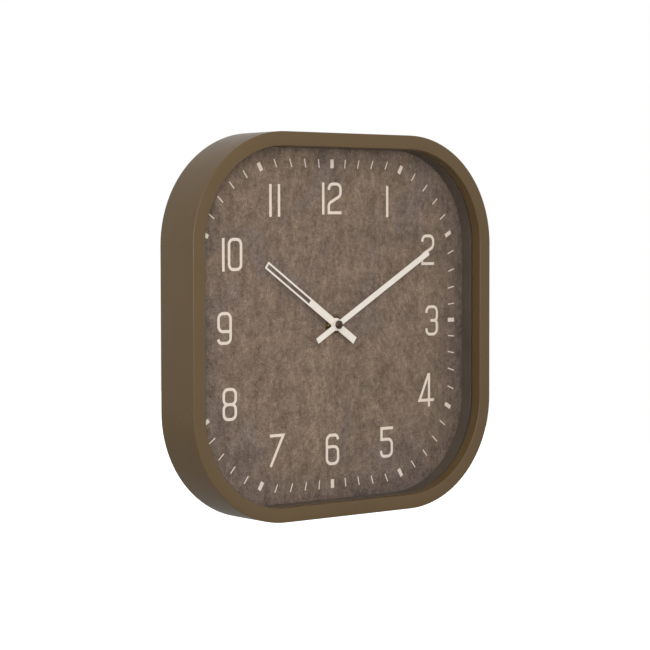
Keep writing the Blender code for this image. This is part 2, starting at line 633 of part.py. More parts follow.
    # Hour wheel: the 48 teeth and the tube that carries the hour hand.
    hour_tube_front = -HOUR_FACE - 0.2 * MM
    tube = turned([
        (HOUR_TUBE_BORE, hour_tube_front), (HOUR_TUBE_RADIUS, hour_tube_front),
        (HOUR_TUBE_RADIUS, hour_y + WHEEL), (HOUR_TUBE_BORE, hour_y + WHEEL)], 24, closed=True)
    disc = gear(HOUR_TEETH, HOUR_MODULE, spot["hour_phase"], hour_y, hour_y + WHEEL,
                (HOUR_TUBE_RADIUS + HOUR_TUBE_BORE) / 2, 24)
    named("hour_wheel", union(tube, disc), material=paints["acetal"])

    # Minute arbor: threaded nose, shaft, cannon pinion and the seat of the centre wheel.
    nose = -MINUTE_FACE - CAP_HEIGHT + 0.5 * MM
    pipe = turned([
        (0, nose), (MINUTE_THREAD_RADIUS, nose), (MINUTE_THREAD_RADIUS, -MINUTE_FACE + BLADE),
        (MINUTE_ARBOR_RADIUS, -MINUTE_FACE + BLADE),
        (MINUTE_ARBOR_RADIUS, motion_y + WHEEL + PINION_OVERHANG),
        (1.2 * MM, motion_y + WHEEL + PINION_OVERHANG), (1.2 * MM, centre_y + WHEEL + 0.3 * MM),
        (pivot_hole, centre_y + WHEEL + 0.3 * MM), (pivot_hole, centre_y - 0.8 * MM),
        (0, centre_y - 0.8 * MM)], 24)
    cannon = gear(CANNON_TEETH, MOTION_MODULE, spot["cannon_phase"], motion_y + pinion_low,
                  motion_y + pinion_high - 0.05 * MM)
    named("minute_arbor", union(pipe, cannon), material=paints["brass"])

    # Motion wheel: 36 teeth with a 12-tooth pinion for the hour wheel, on a fixed pin.
    pin_bore = ARBOR_RADIUS + SLIP_GAP
    wheel = gear(MOTION_TEETH, MOTION_MODULE, spot["motion_phase"], motion_y, motion_y + WHEEL,
                 pin_bore, 12)
    pinion = gear(MOTION_PINION_TEETH, HOUR_MODULE, spot["motion_phase"],
                  hour_y - PINION_OVERHANG, motion_y + 0.1 * MM, pin_bore, 12)
    x, z = spot["motion"]
    named("motion_wheel", moved(union(wheel, pinion), x=x, z=z), (x, motion_y, z),
          paints["acetal"])

    # Setting knob: pinion, shaft and the fluted head behind the cover.
    x, z = spot["knob"]
    pinion = gear(KNOB_TEETH, MOTION_MODULE, spot["knob_phase"], motion_y + pinion_low,
                  motion_y + pinion_high)
    head_front = MOVEMENT_REAR + REST_GAP
    stem = turned([
        (0, motion_y - 1.0 * MM), (PIVOT_RADIUS, motion_y - 1.0 * MM),
        (PIVOT_RADIUS, motion_y), (1.5 * MM, motion_y), (1.5 * MM, head_front + 0.5 * MM),
        (0, head_front + 0.5 * MM)], 20)
    flutes = 18
    rim = []
    for step in range(flutes * 2):
        rim.append(polar(KNOB_RADIUS if step % 2 else KNOB_RADIUS - 0.4 * MM, 180.0 * step / flutes))
    head = plate(rim[::-1], [], head_front, head_front + KNOB_HEAD)
    named("setting_knob", moved(union(stem, pinion, head), x=x, z=z), (x, motion_y, z),
          paints["knob"])

    # Going train, from the hands back to the motor.
    named("centre_wheel", gear(CENTRE_TEETH, CENTRE_MODULE, spot["centre_phase"], centre_y,
                               centre_y + WHEEL, 1.2 * MM + SLIP_GAP, 20),
          (0.0, centre_y, 0.0), paints["acetal"])
    place = spot["third"]
    third = wheel_on_arbor(
        place, gear(THIRD_TEETH, THIRD_MODULE, spot["third_pinion"], third_y, third_y + WHEEL),
        gear(PINION_TEETH, CENTRE_MODULE, spot["third_pinion"], centre_y + pinion_low,
             third_y + 0.1 * MM),
        (centre_y - 1.1 * MM, centre_y + pinion_low - 0.1 * MM, cover_boss - 0.2 * MM, pivot_end))
    named("third_wheel", third, (place[0], third_y, place[1]), paints["acetal"])
    second = wheel_on_arbor(
        (0.0, 0.0), gear(SECOND_TEETH, SECOND_MODULE, spot["second_phase"], second_y,
                         second_y + WHEEL),
        gear(PINION_TEETH, THIRD_MODULE, spot["second_phase"], third_y + pinion_low,
             second_y + 0.1 * MM),
        (centre_y - 0.5 * MM, third_y + pinion_low - 0.05 * MM, cover_boss - 0.2 * MM, pivot_end))
    named("second_wheel", second, (0.0, second_y, 0.0), paints["acetal"])
    place = spot["middle"]
    middle = wheel_on_arbor(
        place, gear(INTERMEDIATE_TEETH, ROTOR_MODULE, spot["middle_phase"], middle_y,
                    middle_y + WHEEL),
        gear(PINION_TEETH, SECOND_MODULE, spot["middle_phase"], second_y + pinion_low,
             middle_y + 0.1 * MM),
        (bridge_y + 0.1 * MM, second_y + pinion_low - 0.2 * MM, cover_boss - 0.2 * MM, pivot_end))
    named("intermediate_wheel", middle, (place[0], middle_y, place[1]), paints["acetal"])
    place = spot["rotor"]
    magnet_y = third_y - 1.0 * MM
    rotor = wheel_on_arbor(
        place, rod(1.2 * MM, magnet_y - 0.3 * MM, magnet_y + MAGNET_LENGTH + 0.6 * MM, steps=16),
        gear(PINION_TEETH, ROTOR_MODULE, spot["rotor_phase"], middle_y + pinion_low,
             middle_y + pinion_high),
        (bearing_heights["rotor"] - 0.8 * MM, bearing_heights["rotor"] + 0.2 * MM,
         cover_boss - 0.2 * MM, pivot_end))
    named("rotor", rotor, (place[0], middle_y, place[1]), paints["acetal"])
    magnet = turned([
        (1.2 * MM + SLIP_GAP, magnet_y), (MAGNET_RADIUS, magnet_y),
        (MAGNET_RADIUS, magnet_y + MAGNET_LENGTH),
        (1.2 * MM + SLIP_GAP, magnet_y + MAGNET_LENGTH)], 24, closed=True)
    named("rotor_magnet", moved(magnet, x=place[0], z=place[1]),
          (place[0], middle_y, place[1]), paints["magnet"])

    # Motor: the stator sheet, the coil and its bobbin.
    stator_y = magnet_y + (MAGNET_LENGTH - STATOR_SHEET) / 2
    reach = COIL_HALF + 3.2 * MM
    eye = rod(MAGNET_RADIUS + 1.8 * MM, stator_y, stator_y + STATOR_SHEET, *place, steps=32)
    limbs = []
    for side in (-1, 1):
        root = (place[0] + side * 2.4 * MM, place[1] - 1.5 * MM)
        end = (side * reach, COIL_HEIGHT - COIL_RADIUS - 1.8 * MM)
        dx, dz = end[0] - root[0], end[1] - root[1]
        bar = block(-1.6 * MM, 1.6 * MM, stator_y, stator_y + STATOR_SHEET, -0.5 * MM,
                    math.hypot(dx, dz) + 0.6 * MM)
        turn_mesh(bar, math.degrees(math.atan2(dx, dz)))
        limbs.append(moved(bar, x=root[0], z=root[1]))
        limbs.append(block(side * reach - 1.6 * MM, side * reach + 1.6 * MM, stator_y,
                           stator_y + STATOR_SHEET, COIL_HEIGHT - COIL_RADIUS - 2.8 * MM,
                           COIL_HEIGHT + 1.6 * MM))
    core = block(-reach, reach, stator_y, stator_y + STATOR_SHEET, COIL_HEIGHT - 1.2 * MM,
                 COIL_HEIGHT + 1.2 * MM)
    eye_bore = rod(MAGNET_RADIUS + 0.35 * MM, stator_y - 1 * MM, stator_y + 2 * MM, *place,
                   steps=32)
    named("stator", cut(union(eye, core, *limbs), eye_bore), material=paints["steel"])
    coil_y = stator_y + STATOR_SHEET / 2
    sleeve = 1.9 * MM
    spool = turned([
        (0, -COIL_HALF - 0.6 * MM), (COIL_RADIUS + 0.2 * MM, -COIL_HALF - 0.6 * MM),
        (COIL_RADIUS + 0.2 * MM, -COIL_HALF), (sleeve, -COIL_HALF), (sleeve, COIL_HALF),
        (COIL_RADIUS + 0.2 * MM, COIL_HALF), (COIL_RADIUS + 0.2 * MM, COIL_HALF + 0.6 * MM),
        (0, COIL_HALF + 0.6 * MM)], 24)
    spool.transform(Matrix.Rotation(math.radians(90), 4, 'Z'))
    slot = block(-reach, reach, -STATOR_SHEET / 2 - SLIP_GAP, STATOR_SHEET / 2 + SLIP_GAP,
                 -1.2 * MM - SLIP_GAP, 1.2 * MM + SLIP_GAP)
    named("coil_bobbin", moved(cut(spool, slot), y=coil_y, z=COIL_HEIGHT),
          (0.0, coil_y, COIL_HEIGHT), paints["acetal"])
    winding = turned([
        (sleeve + SLIP_GAP, -COIL_HALF + SLIP_GAP), (COIL_RADIUS, -COIL_HALF + SLIP_GAP),
        (COIL_RADIUS, COIL_HALF - SLIP_GAP), (sleeve + SLIP_GAP, COIL_HALF - SLIP_GAP)],
        24, closed=True)
    winding.transform(Matrix.Rotation(math.radians(90), 4, 'Z'))
    named("coil_winding", moved(winding, y=coil_y, z=COIL_HEIGHT),
          (0.0, coil_y, COIL_HEIGHT), paints["copper"])

    # Circuit board with its chip and crystal.
    board_y = second_y
    board_left = -CHAMBER_HALF + SIDE_GAP
    board_right = -reach - 2.0 * MM
    board_low = 11.2 * MM
    board_high = CHAMBER_HALF - SIDE_GAP
    board_top = board_y + 1.0 * MM
    named("circuit_board", block(board_left, board_right, board_y, board_top, board_low,
                                 board_high), material=paints["board"], smooth=0)
    middle_x = (board_left + board_right) / 2
    chip = turned([(0, board_top + REST_GAP), (2.6 * MM, board_top + REST_GAP),
                   (2.3 * MM, board_top + REST_GAP + 0.6 * MM),
                   (1.2 * MM, board_top + REST_GAP + 0.95 * MM),
                   (0, board_top + REST_GAP + 1.05 * MM)], 20)
    named("chip_cap", moved(chip, x=middle_x, z=15.0 * MM), material=paints["resin"])
    crystal = turned([(0, 0), (1.0 * MM, 0), (1.0 * MM, 5.8 * MM), (0, 6.0 * MM)], 16)
    crystal.transform(Matrix.Rotation(math.radians(90), 4, 'X'))
    named("quartz_crystal", moved(crystal, x=middle_x, y=board_top + REST_GAP + 1.0 * MM,
                                  z=19.2 * MM), material=paints["steel"])

    # Battery and its two contacts.
    battery_x0 = -CHAMBER_HALF + CONTACT_SHEET + 0.9 * MM
    can = turned([
        (0, battery_x0), (BATTERY_NUB_RADIUS, battery_x0),
        (BATTERY_NUB_RADIUS, battery_x0 + BATTERY_NUB),
        (BATTERY_RADIUS - 0.6 * MM, battery_x0 + BATTERY_NUB),
        (BATTERY_RADIUS, battery_x0 + BATTERY_NUB + 0.6 * MM),
        (BATTERY_RADIUS, battery_x0 + BATTERY_NUB + BATTERY_LENGTH - 0.6 * MM),
        (BATTERY_RADIUS - 0.6 * MM, battery_x0 + BATTERY_NUB + BATTERY_LENGTH),
        (0, battery_x0 + BATTERY_NUB + BATTERY_LENGTH)], 32)
    can.transform(Matrix.Rotation(math.radians(-90), 4, 'Z'))
    named("battery", moved(can, y=BATTERY_Y, z=BAY_AXIS_Z), (0.0, BATTERY_Y, BAY_AXIS_Z),
          paints["battery"])
    strip_y = ledge - 0.9 * MM
    for side, key, lift in ((-1, "contact_positive", board_low + 3 * MM),
                            (1, "contact_negative", DIVIDER_TOP + 3 * MM)):
        outer = side * (CHAMBER_HALF - 0.2 * MM)
        inner = outer - side * CONTACT_SHEET
        x0, x1 = min(outer, inner), max(outer, inner)
        face = block(x0, x1, BATTERY_Y - 5 * MM, strip_y + CONTACT_SHEET, BAY_AXIS_Z - 4 * MM,
                     BAY_AXIS_Z + 4 * MM)
        riser = block(x0, x1, strip_y - 0.4 * MM, strip_y + CONTACT_SHEET,
                      BAY_AXIS_Z, DIVIDER_TOP + 1 * MM)
        foot_x = outer - side * 3.0 * MM
        strip = block(min(outer, foot_x), max(outer, foot_x), strip_y, strip_y + CONTACT_SHEET,
                      DIVIDER_TOP - 0.6 * MM, lift)
        pieces = [riser, strip]
        if side > 0:
            back_z = DIVIDER_TOP + 0.5 * MM
            run_left = -CHAMBER_HALF + 6.5 * MM
            pieces.append(block(run_left, outer - 1 * MM, strip_y, strip_y + CONTACT_SHEET,
                                back_z, back_z + 1.6 * MM))
            pieces.append(block(run_left, run_left + 1.6 * MM, strip_y, strip_y + CONTACT_SHEET,
                                back_z, board_low + 3 * MM))
            apex = battery_x0 + BATTERY_NUB + BATTERY_LENGTH + REST_GAP
            leaf = plate([(inner + 0.1 * MM, BAY_AXIS_Z + 2.9 * MM),
                          (apex + LEAF_SHEET, BAY_AXIS_Z + 0.9 * MM),
                          (apex + LEAF_SHEET, BAY_AXIS_Z - 0.9 * MM),
                          (inner + 0.1 * MM, BAY_AXIS_Z - 2.9 * MM),
                          (inner + 0.1 * MM, BAY_AXIS_Z - 3.5 * MM),
                          (apex, BAY_AXIS_Z - 1.1 * MM),
                          (apex, BAY_AXIS_Z + 1.1 * MM),
                          (inner + 0.1 * MM, BAY_AXIS_Z + 3.5 * MM)], [],
                         BATTERY_Y - 3 * MM, BATTERY_Y + 3 * MM)
            pieces.append(leaf)
        named(key, union(face, *pieces), material=paints["nickel"], smooth=0)


def hand_parts(paints):
    """Hour hand, minute hand, their collets and the cap nut."""
    hour_angle = (READ_HOUR % 12) * 30.0 + READ_MINUTE * 0.5
    minute_angle = READ_MINUTE * 6.0
    collet_bore = HOUR_TUBE_RADIUS + SLIP_GAP
    outline, holes = hand_blade(HOUR_LENGTH, HOUR_TAIL, HOUR_WIDTH, HOUR_HUB,
                                collet_bore, (SLOT_START, SLOT_FRAME))
    hour_rear = -HOUR_FACE + BLADE
    named("hour_hand", turn_mesh(plate(outline, holes, -HOUR_FACE, hour_rear), hour_angle),
          material=paints["hands"], smooth=0)
    named("hour_collet", turned([
        (collet_bore, hour_rear + SLIP_GAP), (3.4 * MM, hour_rear + SLIP_GAP),
        (3.1 * MM, hour_rear + SLIP_GAP + 0.5 * MM), (collet_bore, hour_rear + SLIP_GAP
                                                       + 0.5 * MM)], 24, closed=True),
        material=paints["brass"])
    arbor_bore = MINUTE_THREAD_RADIUS + SLIP_GAP
    outline, holes = hand_blade(MINUTE_LENGTH, MINUTE_TAIL, MINUTE_WIDTH, MINUTE_COLLET,
                                arbor_bore)
    minute_rear = -MINUTE_FACE + BLADE
    named("minute_hand", turn_mesh(plate(outline, holes, -MINUTE_FACE, minute_rear),
                                   minute_angle), material=paints["hands"], smooth=0)
    collet_hole = MINUTE_ARBOR_RADIUS + SLIP_GAP
    named("minute_collet", turned([
        (collet_hole, minute_rear + SLIP_GAP), (MINUTE_COLLET, minute_rear + SLIP_GAP),
        (MINUTE_COLLET - 0.3 * MM, minute_rear + 1.7 * MM),
        (collet_hole, minute_rear + 1.7 * MM)], 32, closed=True), material=paints["hands"])
    cap_rear = -MINUTE_FACE - SLIP_GAP
    cap_front = cap_rear - CAP_HEIGHT
    thread = MINUTE_THREAD_RADIUS + SLIP_GAP
    nose_hole = -MINUTE_FACE - CAP_HEIGHT + 0.2 * MM
    named("cap_nut", turned([
        (0, nose_hole), (thread, nose_hole), (thread, cap_rear), (CAP_RADIUS, cap_rear),
        (CAP_RADIUS, cap_rear - CAP_HEIGHT * 0.55), (CAP_RADIUS - 0.5 * MM, cap_front + 0.25 * MM),
        (CAP_RADIUS - 1.2 * MM, cap_front), (0, cap_front)], 32), material=paints["bronze"])


def build():
    """Clear the scene's objects and model the clock."""
    for item in list(bpy.data.objects):
        bpy.data.objects.remove(item)
    paints = {
        "case": paint("case_paint", (0.11, 0.075, 0.045), 0.55, 0.2),
        "glass": paint("clear_glass", (0.95, 0.97, 0.97), 0.02, 0.0, 0.12),
        "spacer": paint("spacer_board", (0.06, 0.045, 0.035), 0.7),
        "dial": paint("dial_print", (0.15, 0.115, 0.09), 0.75),
        "cover": paint("cover_black", (0.03, 0.03, 0.03), 0.6),
        "steel": paint("zinc_steel", (0.6, 0.6, 0.58), 0.35, 1.0),
        "nickel": paint("nickel_strip", (0.7, 0.68, 0.62), 0.3, 1.0),
        "brass": paint("turned_brass", (0.65, 0.45, 0.2), 0.35, 1.0),
        "bronze": paint("dark_bronze", (0.12, 0.09, 0.06), 0.4, 0.8),
        "rubber": paint("black_rubber", (0.02, 0.02, 0.02), 0.9),
        "housing": paint("movement_plastic", (0.025, 0.025, 0.028), 0.5),
        "knob": paint("knob_plastic", (0.05, 0.05, 0.05), 0.5),
        "acetal": paint("white_acetal", (0.75, 0.75, 0.72), 0.45),
        "magnet": paint("sintered_magnet", (0.12, 0.12, 0.13), 0.5, 0.7),
        "copper": paint("copper_wire", (0.6, 0.25, 0.1), 0.4, 1.0),
        "board": paint("board_laminate", (0.05, 0.2, 0.08), 0.5),
        "resin": paint("black_resin", (0.01, 0.01, 0.01), 0.3),
        "battery": paint("battery_sleeve", (0.1, 0.1, 0.11), 0.35, 0.3),
        "hands": paint("hand_enamel", (0.8, 0.74, 0.65), 0.5)}
    case_parts(paints)
    movement_parts(paints)
    hand_parts(paints)


build()
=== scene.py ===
"""Wall clock: fine surfaces, printed dial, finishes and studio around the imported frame."""
import json
import math

import bmesh
import bpy
import numpy as np
from bpy.props import FloatProperty, FloatVectorProperty, PointerProperty
from mathutils import Matrix, Vector


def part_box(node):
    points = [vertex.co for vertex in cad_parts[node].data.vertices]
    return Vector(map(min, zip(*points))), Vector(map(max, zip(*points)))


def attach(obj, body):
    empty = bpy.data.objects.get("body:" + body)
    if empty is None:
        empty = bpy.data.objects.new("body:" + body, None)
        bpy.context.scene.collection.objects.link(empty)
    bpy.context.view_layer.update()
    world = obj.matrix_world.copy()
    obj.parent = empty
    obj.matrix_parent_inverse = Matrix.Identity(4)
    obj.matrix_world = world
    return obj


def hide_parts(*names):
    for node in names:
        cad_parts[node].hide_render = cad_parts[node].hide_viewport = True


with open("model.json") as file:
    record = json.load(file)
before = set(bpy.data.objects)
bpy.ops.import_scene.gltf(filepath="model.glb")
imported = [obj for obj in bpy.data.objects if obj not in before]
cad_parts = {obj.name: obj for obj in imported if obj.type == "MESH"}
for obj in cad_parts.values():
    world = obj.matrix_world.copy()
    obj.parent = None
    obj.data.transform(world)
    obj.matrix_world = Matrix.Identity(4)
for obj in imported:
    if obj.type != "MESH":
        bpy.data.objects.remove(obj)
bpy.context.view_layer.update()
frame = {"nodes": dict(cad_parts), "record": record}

bl_info = {
    "name": "Square Wall Clock",
    "version": (1, 0, 0),
    "blender": (4, 5, 0),
    "location": "View3D > Sidebar > Clock",
    "description": "Builds the fine surfaces and finishes of a deep square wall clock",
    "category": "Object",
}

MM = 0.001

# Camera: turn (negative to the left), lift above level and roll in degrees, distance and
# offsets from the dial's middle in metres, lens in millimetres
VIEW_TURN, VIEW_LIFT, VIEW_ROLL = -38.742, 2.637, -0.0975
VIEW_DISTANCE = 1.6361
VIEW_RIGHT, VIEW_UP = 0.005707, 0.000615
VIEW_LENS = 114.35

FLOOR_HEIGHT = -0.9            # metres, upwards from the dial's middle
AMBIENT = 0.75                 # strength of the white surroundings as a light
LAMPS = (                      # name, place, disk diameter, watts
    ("key_light", (-1.2, -1.4, 0.2), 0.3, 7.0),
    ("soft_box", (-0.5, -0.85, 0.4), 0.9, 4.0))

# Layers of the dial's grain: size per metre, detail, roughness, depth, stretch along x, y, z
DIAL_GRAIN = (
    (24.0, 1.0, 0.6, 0.08, (1.0, 1.0, 1.0)),
    (80.0, 2.0, 0.9, 0.36, (1.1, 1.0, 0.8)),
    (320.0, 2.0, 0.9, 0.34, (1.0, 1.0, 0.9)),
    (1100.0, 1.0, 0.9, 0.42, (1.0, 1.0, 0.8)),
    (520.0, 3.0, 0.7, 0.08, (1.0, 1.0, 0.15)),
    (520.0, 3.0, 0.7, 0.05, (0.15, 1.0, 1.0)))
# The dial's edge tone is painted shade with a purple-grey tint; these set how far it reaches.
EDGE_ACROSS, EDGE_DOWN = 0.135, 0.14   # reach of the dial's edge tone, metres

POST_RADIUS = 2.85 * MM        # screw posts inside the case
POST_BORE = 1.4 * MM
POST_BORE_DEPTH = 9.0 * MM
FRONT_WALL = 2.2 * MM          # thickness of the case behind its front face
COVER_GRIP = 2.3 * MM          # rear face of the cover to the posts' ends
DIAL_BORE = 4.1 * MM           # hole for the threaded bushing, as a radius
CAP_CROWN = 1.1 * MM           # height of the cap nut's dome
CAP_BORE = 1.45 * MM           # cap nut's bore, as a radius
CAP_ROOF = 0.35 * MM           # metal left over the cap nut's bore
COVER_SCREW_HEAD = 1.2 * MM    # heights of the screw heads
HANGER_SCREW_HEAD = 0.7 * MM
SHANK_SHARE = 0.45             # screw shank radius as a share of the head's
WIRE_PITCH = 0.15 * MM         # one turn of the coil's wire to the next
NUB_LENGTH = 1.0 * MM          # battery's positive button
NUB_RADIUS = 2.7 * MM
SLEEVE_ROUND = 0.35 * MM       # round at each end of the battery's sleeve


# ------------------------------------------------------------------ sizes and colours
def shade(red, green, blue):
    """Screen colour 0 to 255 to linear light: the cube-like sRGB curve, each channel alone."""
    value = np.array((red, green, blue)) / 255.0
    linear = np.where(value <= 0.04045, value / 12.92, ((value + 0.055) / 1.055) ** 2.4)
    return tuple(float(channel) for channel in linear)


def colour(label, note, red, green, blue):
    """A colour property with its default given on the screen scale."""
    return FloatVectorProperty(name=label, description=note, subtype='COLOR', size=3,
                               min=0.0, max=1.0, default=shade(red, green, blue))


def length(label, note, millimetres):
    """A length property whose default is given in millimetres."""
    return FloatProperty(name=label, description=note, default=millimetres * MM,
                         min=0.0, unit='LENGTH')


class ClockSizes(bpy.types.PropertyGroup):
    """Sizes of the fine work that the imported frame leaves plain."""
    edge: length("Edge round", "Round on the front edges of the case", 0.9)
    corner_centre: length("Corner centre", "Corner arc centre from the middle", 63.0)
    case_wall: length("Case wall", "Thickness of the case side", 2.2)
    lip_wall: length("Lip wall", "Thickness of the lip inside the opening", 1.4)
    rim: length("Rim", "Width of the front face", 11.2)
    seat: length("Seat gap", "Between faces that rest on each other", 0.3)
    stroke: length("Stroke", "Width of the numeral strokes", 2.35)
    ink: length("Ink", "How far the print stands off the dial", 0.06)
    tick_path: length("Tick path", "Half size of the minute track", 126.8)
    tick_corner: length("Tick corner", "Corner radius of the minute track", 79.0)
    tick: length("Tick", "Length of a tick", 6.9)
    minute_width: length("Minute tick", "Width of a minute tick", 0.95)
    hour_width: length("Hour tick", "Width of an hour tick", 3.3)


class ClockLooks(bpy.types.PropertyGroup):
    """Colours of the finishes."""
    case: colour("Case", "Olive-brown case paint", 95, 76, 49)
    spacer: colour("Spacer", "Dark ring between lens and dial", 88, 77, 66)
    dial: colour("Dial", "Middle tone of the dial print", 130, 111, 95)
    dial_cool: colour("Dial cool", "Cool patches of the dial print", 122, 107, 98)
    dial_warm: colour("Dial warm", "Warm patches of the dial print", 135, 116, 98)
    # Painted shade: the dial's edge tone darkens its left, right and bottom edges where the rim
    # shades it, with a purple-grey tint.
    dial_edge_shade: colour("Dial edge", "Tone that the print takes towards its edge", 98, 85, 81)
    print_ink: colour("Print", "Numerals and ticks", 240, 224, 208)
    enamel: colour("Hands", "Enamel of the hands", 247, 237, 224)
    bronze: colour("Cap", "Dark bronze of the cap nut", 100, 84, 70)
    brass: colour("Brass", "Aged brass", 150, 132, 102)
    cover: colour("Cover", "Black moulding of the back cover", 40, 40, 41)
    sleeve: colour("Battery sleeve", "Main colour of the battery sleeve", 70, 92, 84)
    band: colour("Battery band", "Ring at the positive end of the sleeve", 196, 196, 190)
    floor: colour("Floor", "Studio floor", 254, 254, 254)


# ------------------------------------------------------------------ surfaces
def corner_path(half, centre, steps):
    """Round square: four quarter arcs of radius half - centre about (+-centre, +-centre)."""
    half = np.atleast_1d(np.asarray(half, float))[:, None]
    quarter = np.repeat(np.arange(4), steps + 1)
    angle = np.radians(90.0) * (quarter + np.tile(np.linspace(0, 1, steps + 1), 4))
    base = np.radians(90.0) * quarter + np.radians(45.0)
    x = centre * math.sqrt(2) * np.cos(base) + (half - centre) * np.cos(angle)
    z = centre * math.sqrt(2) * np.sin(base) + (half - centre) * np.sin(angle)
    return np.stack([x, z], -1)


def quads(rows, columns, wrap_rows, wrap_columns):
    """Corner numbers of every cell of a grid, row by row."""
    row = np.arange(rows if wrap_rows else rows - 1)[:, None]
    column = np.arange(columns if wrap_columns else columns - 1)[None, :]
    after_row, after_column = (row + 1) % rows, (column + 1) % columns
    return np.stack([row * columns + column, row * columns + after_column,
                     after_row * columns + after_column, after_row * columns + column],
                    -1).reshape(-1, 4)


def put(name, sheets, smooth=30.0):
    """One mesh object from point grids. Each sheet is (points, wrap_rows, wrap_columns).

    Seams and poles are merged, open ends closed, faces turned outwards, and edges that turn
    by more than the smooth angle in degrees stay sharp.
    """
    points, faces, start = [], [], 0
    for grid, wrap_rows, wrap_columns in sheets:
        rows, columns = grid.shape[:2]
        points.append(grid.reshape(-1, 3))
        faces.append(quads(rows, columns, wrap_rows, wrap_columns) + start)
        start += rows * columns
    points, faces = np.concatenate(points), np.concatenate(faces)
    mesh = bpy.data.meshes.new(name)
    mesh.vertices.add(len(points))
    mesh.vertices.foreach_set("co", points.astype(np.float32).ravel())
    mesh.loops.add(faces.size)
    mesh.loops.foreach_set("vertex_index", faces.astype(np.int32).ravel())
    mesh.polygons.add(len(faces))
    mesh.polygons.foreach_set("loop_start", np.arange(0, faces.size, 4, dtype=np.int32))
    mesh.update(calc_edges=True)
    work = bmesh.new()
    work.from_mesh(mesh)
    bmesh.ops.remove_doubles(work, verts=work.verts, dist=2e-7)
    bmesh.ops.dissolve_degenerate(work, edges=work.edges, dist=1e-8)
    rim = [edge for edge in work.edges if edge.is_boundary]
    if rim:
        bmesh.ops.holes_fill(work, edges=rim, sides=0)
    bmesh.ops.recalc_face_normals(work, faces=work.faces)
    work.to_mesh(mesh)
    work.free()
    mesh.shade_smooth()
    mesh.set_sharp_from_angle(angle=math.radians(smooth))
    piece = bpy.data.objects.new(name, mesh)
    bpy.context.scene.collection.objects.link(piece)
    return piece


def square_sweep(profile, centre, steps=28):
    """A closed (half size, y) profile carried round the round-square path."""
    profile = np.asarray(profile, float)
    loops = corner_path(profile[:, 0], centre, steps)
    depth = np.broadcast_to(profile[:, 1][:, None, None], loops.shape[:2] + (1,))
    return np.concatenate([loops[..., :1], depth, loops[..., 1:]], -1)


def arc(centre, radius, start, stop, steps=6):
    """Points of a circle arc in the profile plane, angles in degrees."""
    angle = np.radians(np.linspace(start, stop, steps))
    return np.stack([centre[0] + radius * np.cos(angle), centre[1] + radius * np.sin(angle)], -1)


def lathe(profile, steps=48, place=(0.0, 0.0)):
    """A (radius, y) profile turned about the Y axis through the place (x, z)."""
    profile = np.asarray(profile, float)
    turn = np.linspace(0, 2 * np.pi, steps, endpoint=False)[None, :]
    radius, depth = profile[:, :1], profile[:, 1:]
    return np.stack([place[0] + radius * np.cos(turn), depth + 0 * turn,
                     place[1] + radius * np.sin(turn)], -1)


def rounded_path(corners, radii, closed=False, steps=7):
    """Straight runs between corner points, each corner cut by an arc tangent to both runs."""
    corners = [np.asarray(point, float) for point in corners]
    count, line = len(corners), []
    for index, (point, radius) in enumerate(zip(corners, radii)):
        if radius <= 0 or (not closed and index in (0, count - 1)):
            line.append(point[None, :])
            continue
        before = corners[index - 1] - point
        after = corners[(index + 1) % count] - point
        before, after = before / np.linalg.norm(before), after / np.linalg.norm(after)
        half = math.acos(float(np.clip(before @ after, -1, 1))) / 2
        middle = (before + after) / np.linalg.norm(before + after)
        centre = point + middle * radius / math.sin(half)
        first = point + before * radius / math.tan(half) - centre
        last = point + after * radius / math.tan(half) - centre
        a0, a1 = math.atan2(first[1], first[0]), math.atan2(last[1], last[0])
        sweep = (a1 - a0 + math.pi) % (2 * math.pi) - math.pi
        angle = a0 + sweep * np.linspace(0, 1, steps)
        line.append(centre + radius * np.stack([np.cos(angle), np.sin(angle)], -1))
    return np.concatenate(line)


def ribbon(path, half_width, y_rear, y_front, closed=False, soft=0.0):
    """A flat bar carried along a path in the dial's plane, mitred, with softened front edges."""
    ahead = np.roll(path, -1, 0) - path
    behind = path - np.roll(path, 1, 0)
    if not closed:
        ahead[-1], behind[0] = behind[-1], ahead[0]
    ahead /= np.linalg.norm(ahead, axis=1)[:, None]
    behind /= np.linalg.norm(behind, axis=1)[:, None]
    normal = np.stack([-(ahead + behind)[:, 1], (ahead + behind)[:, 0]], -1)
    normal /= np.linalg.norm(normal, axis=1)[:, None]
    side = np.stack([-ahead[:, 1], ahead[:, 0]], -1)
    normal /= np.sum(normal * side, axis=1)[:, None]
    section = np.array([(-half_width, y_rear), (-half_width, y_front + soft),
                        (-half_width + soft, y_front), (half_width - soft, y_front),
                        (half_width, y_front + soft), (half_width, y_rear)])
    if soft <= 0:
        section = section[[0, 1, 4, 5]]
    flat = path[:, None, :] + normal[:, None, :] * section[None, :, :1]
    depth = np.broadcast_to(section[None, :, 1:], flat.shape[:2] + (1,))
    return np.concatenate([flat[..., :1], depth, flat[..., 1:]], -1), closed, True


def eased(node, width, angle=30.0, segments=2):
    """A merged copy of a frame node with its flat faces rejoined and its sharp edges rounded.

    Every edge that turns by more than the angle becomes a round of the given width.
    """
    work = bmesh.new()
    work.from_mesh(frame["nodes"][node].data)
    bmesh.ops.remove_doubles(work, verts=work.verts, dist=1e-6)
    bmesh.ops.dissolve_limit(work, angle_limit=math.radians(0.5), verts=work.verts,
                             edges=work.edges)
    mesh = bpy.data.meshes.new(node + "_fine")
    work.to_mesh(mesh)
    work.free()
    mesh.shade_smooth()
    mesh.set_sharp_from_angle(angle=math.radians(angle))
    piece = bpy.data.objects.new(node + "_fine", mesh)
    bpy.context.scene.collection.objects.link(piece)
    round_off = piece.modifiers.new("edge_round", 'BEVEL')
    round_off.width, round_off.segments = width, segments
    round_off.limit_method, round_off.angle_limit = 'ANGLE', math.radians(angle)
    round_off.use_clamp_overlap = True
    return piece


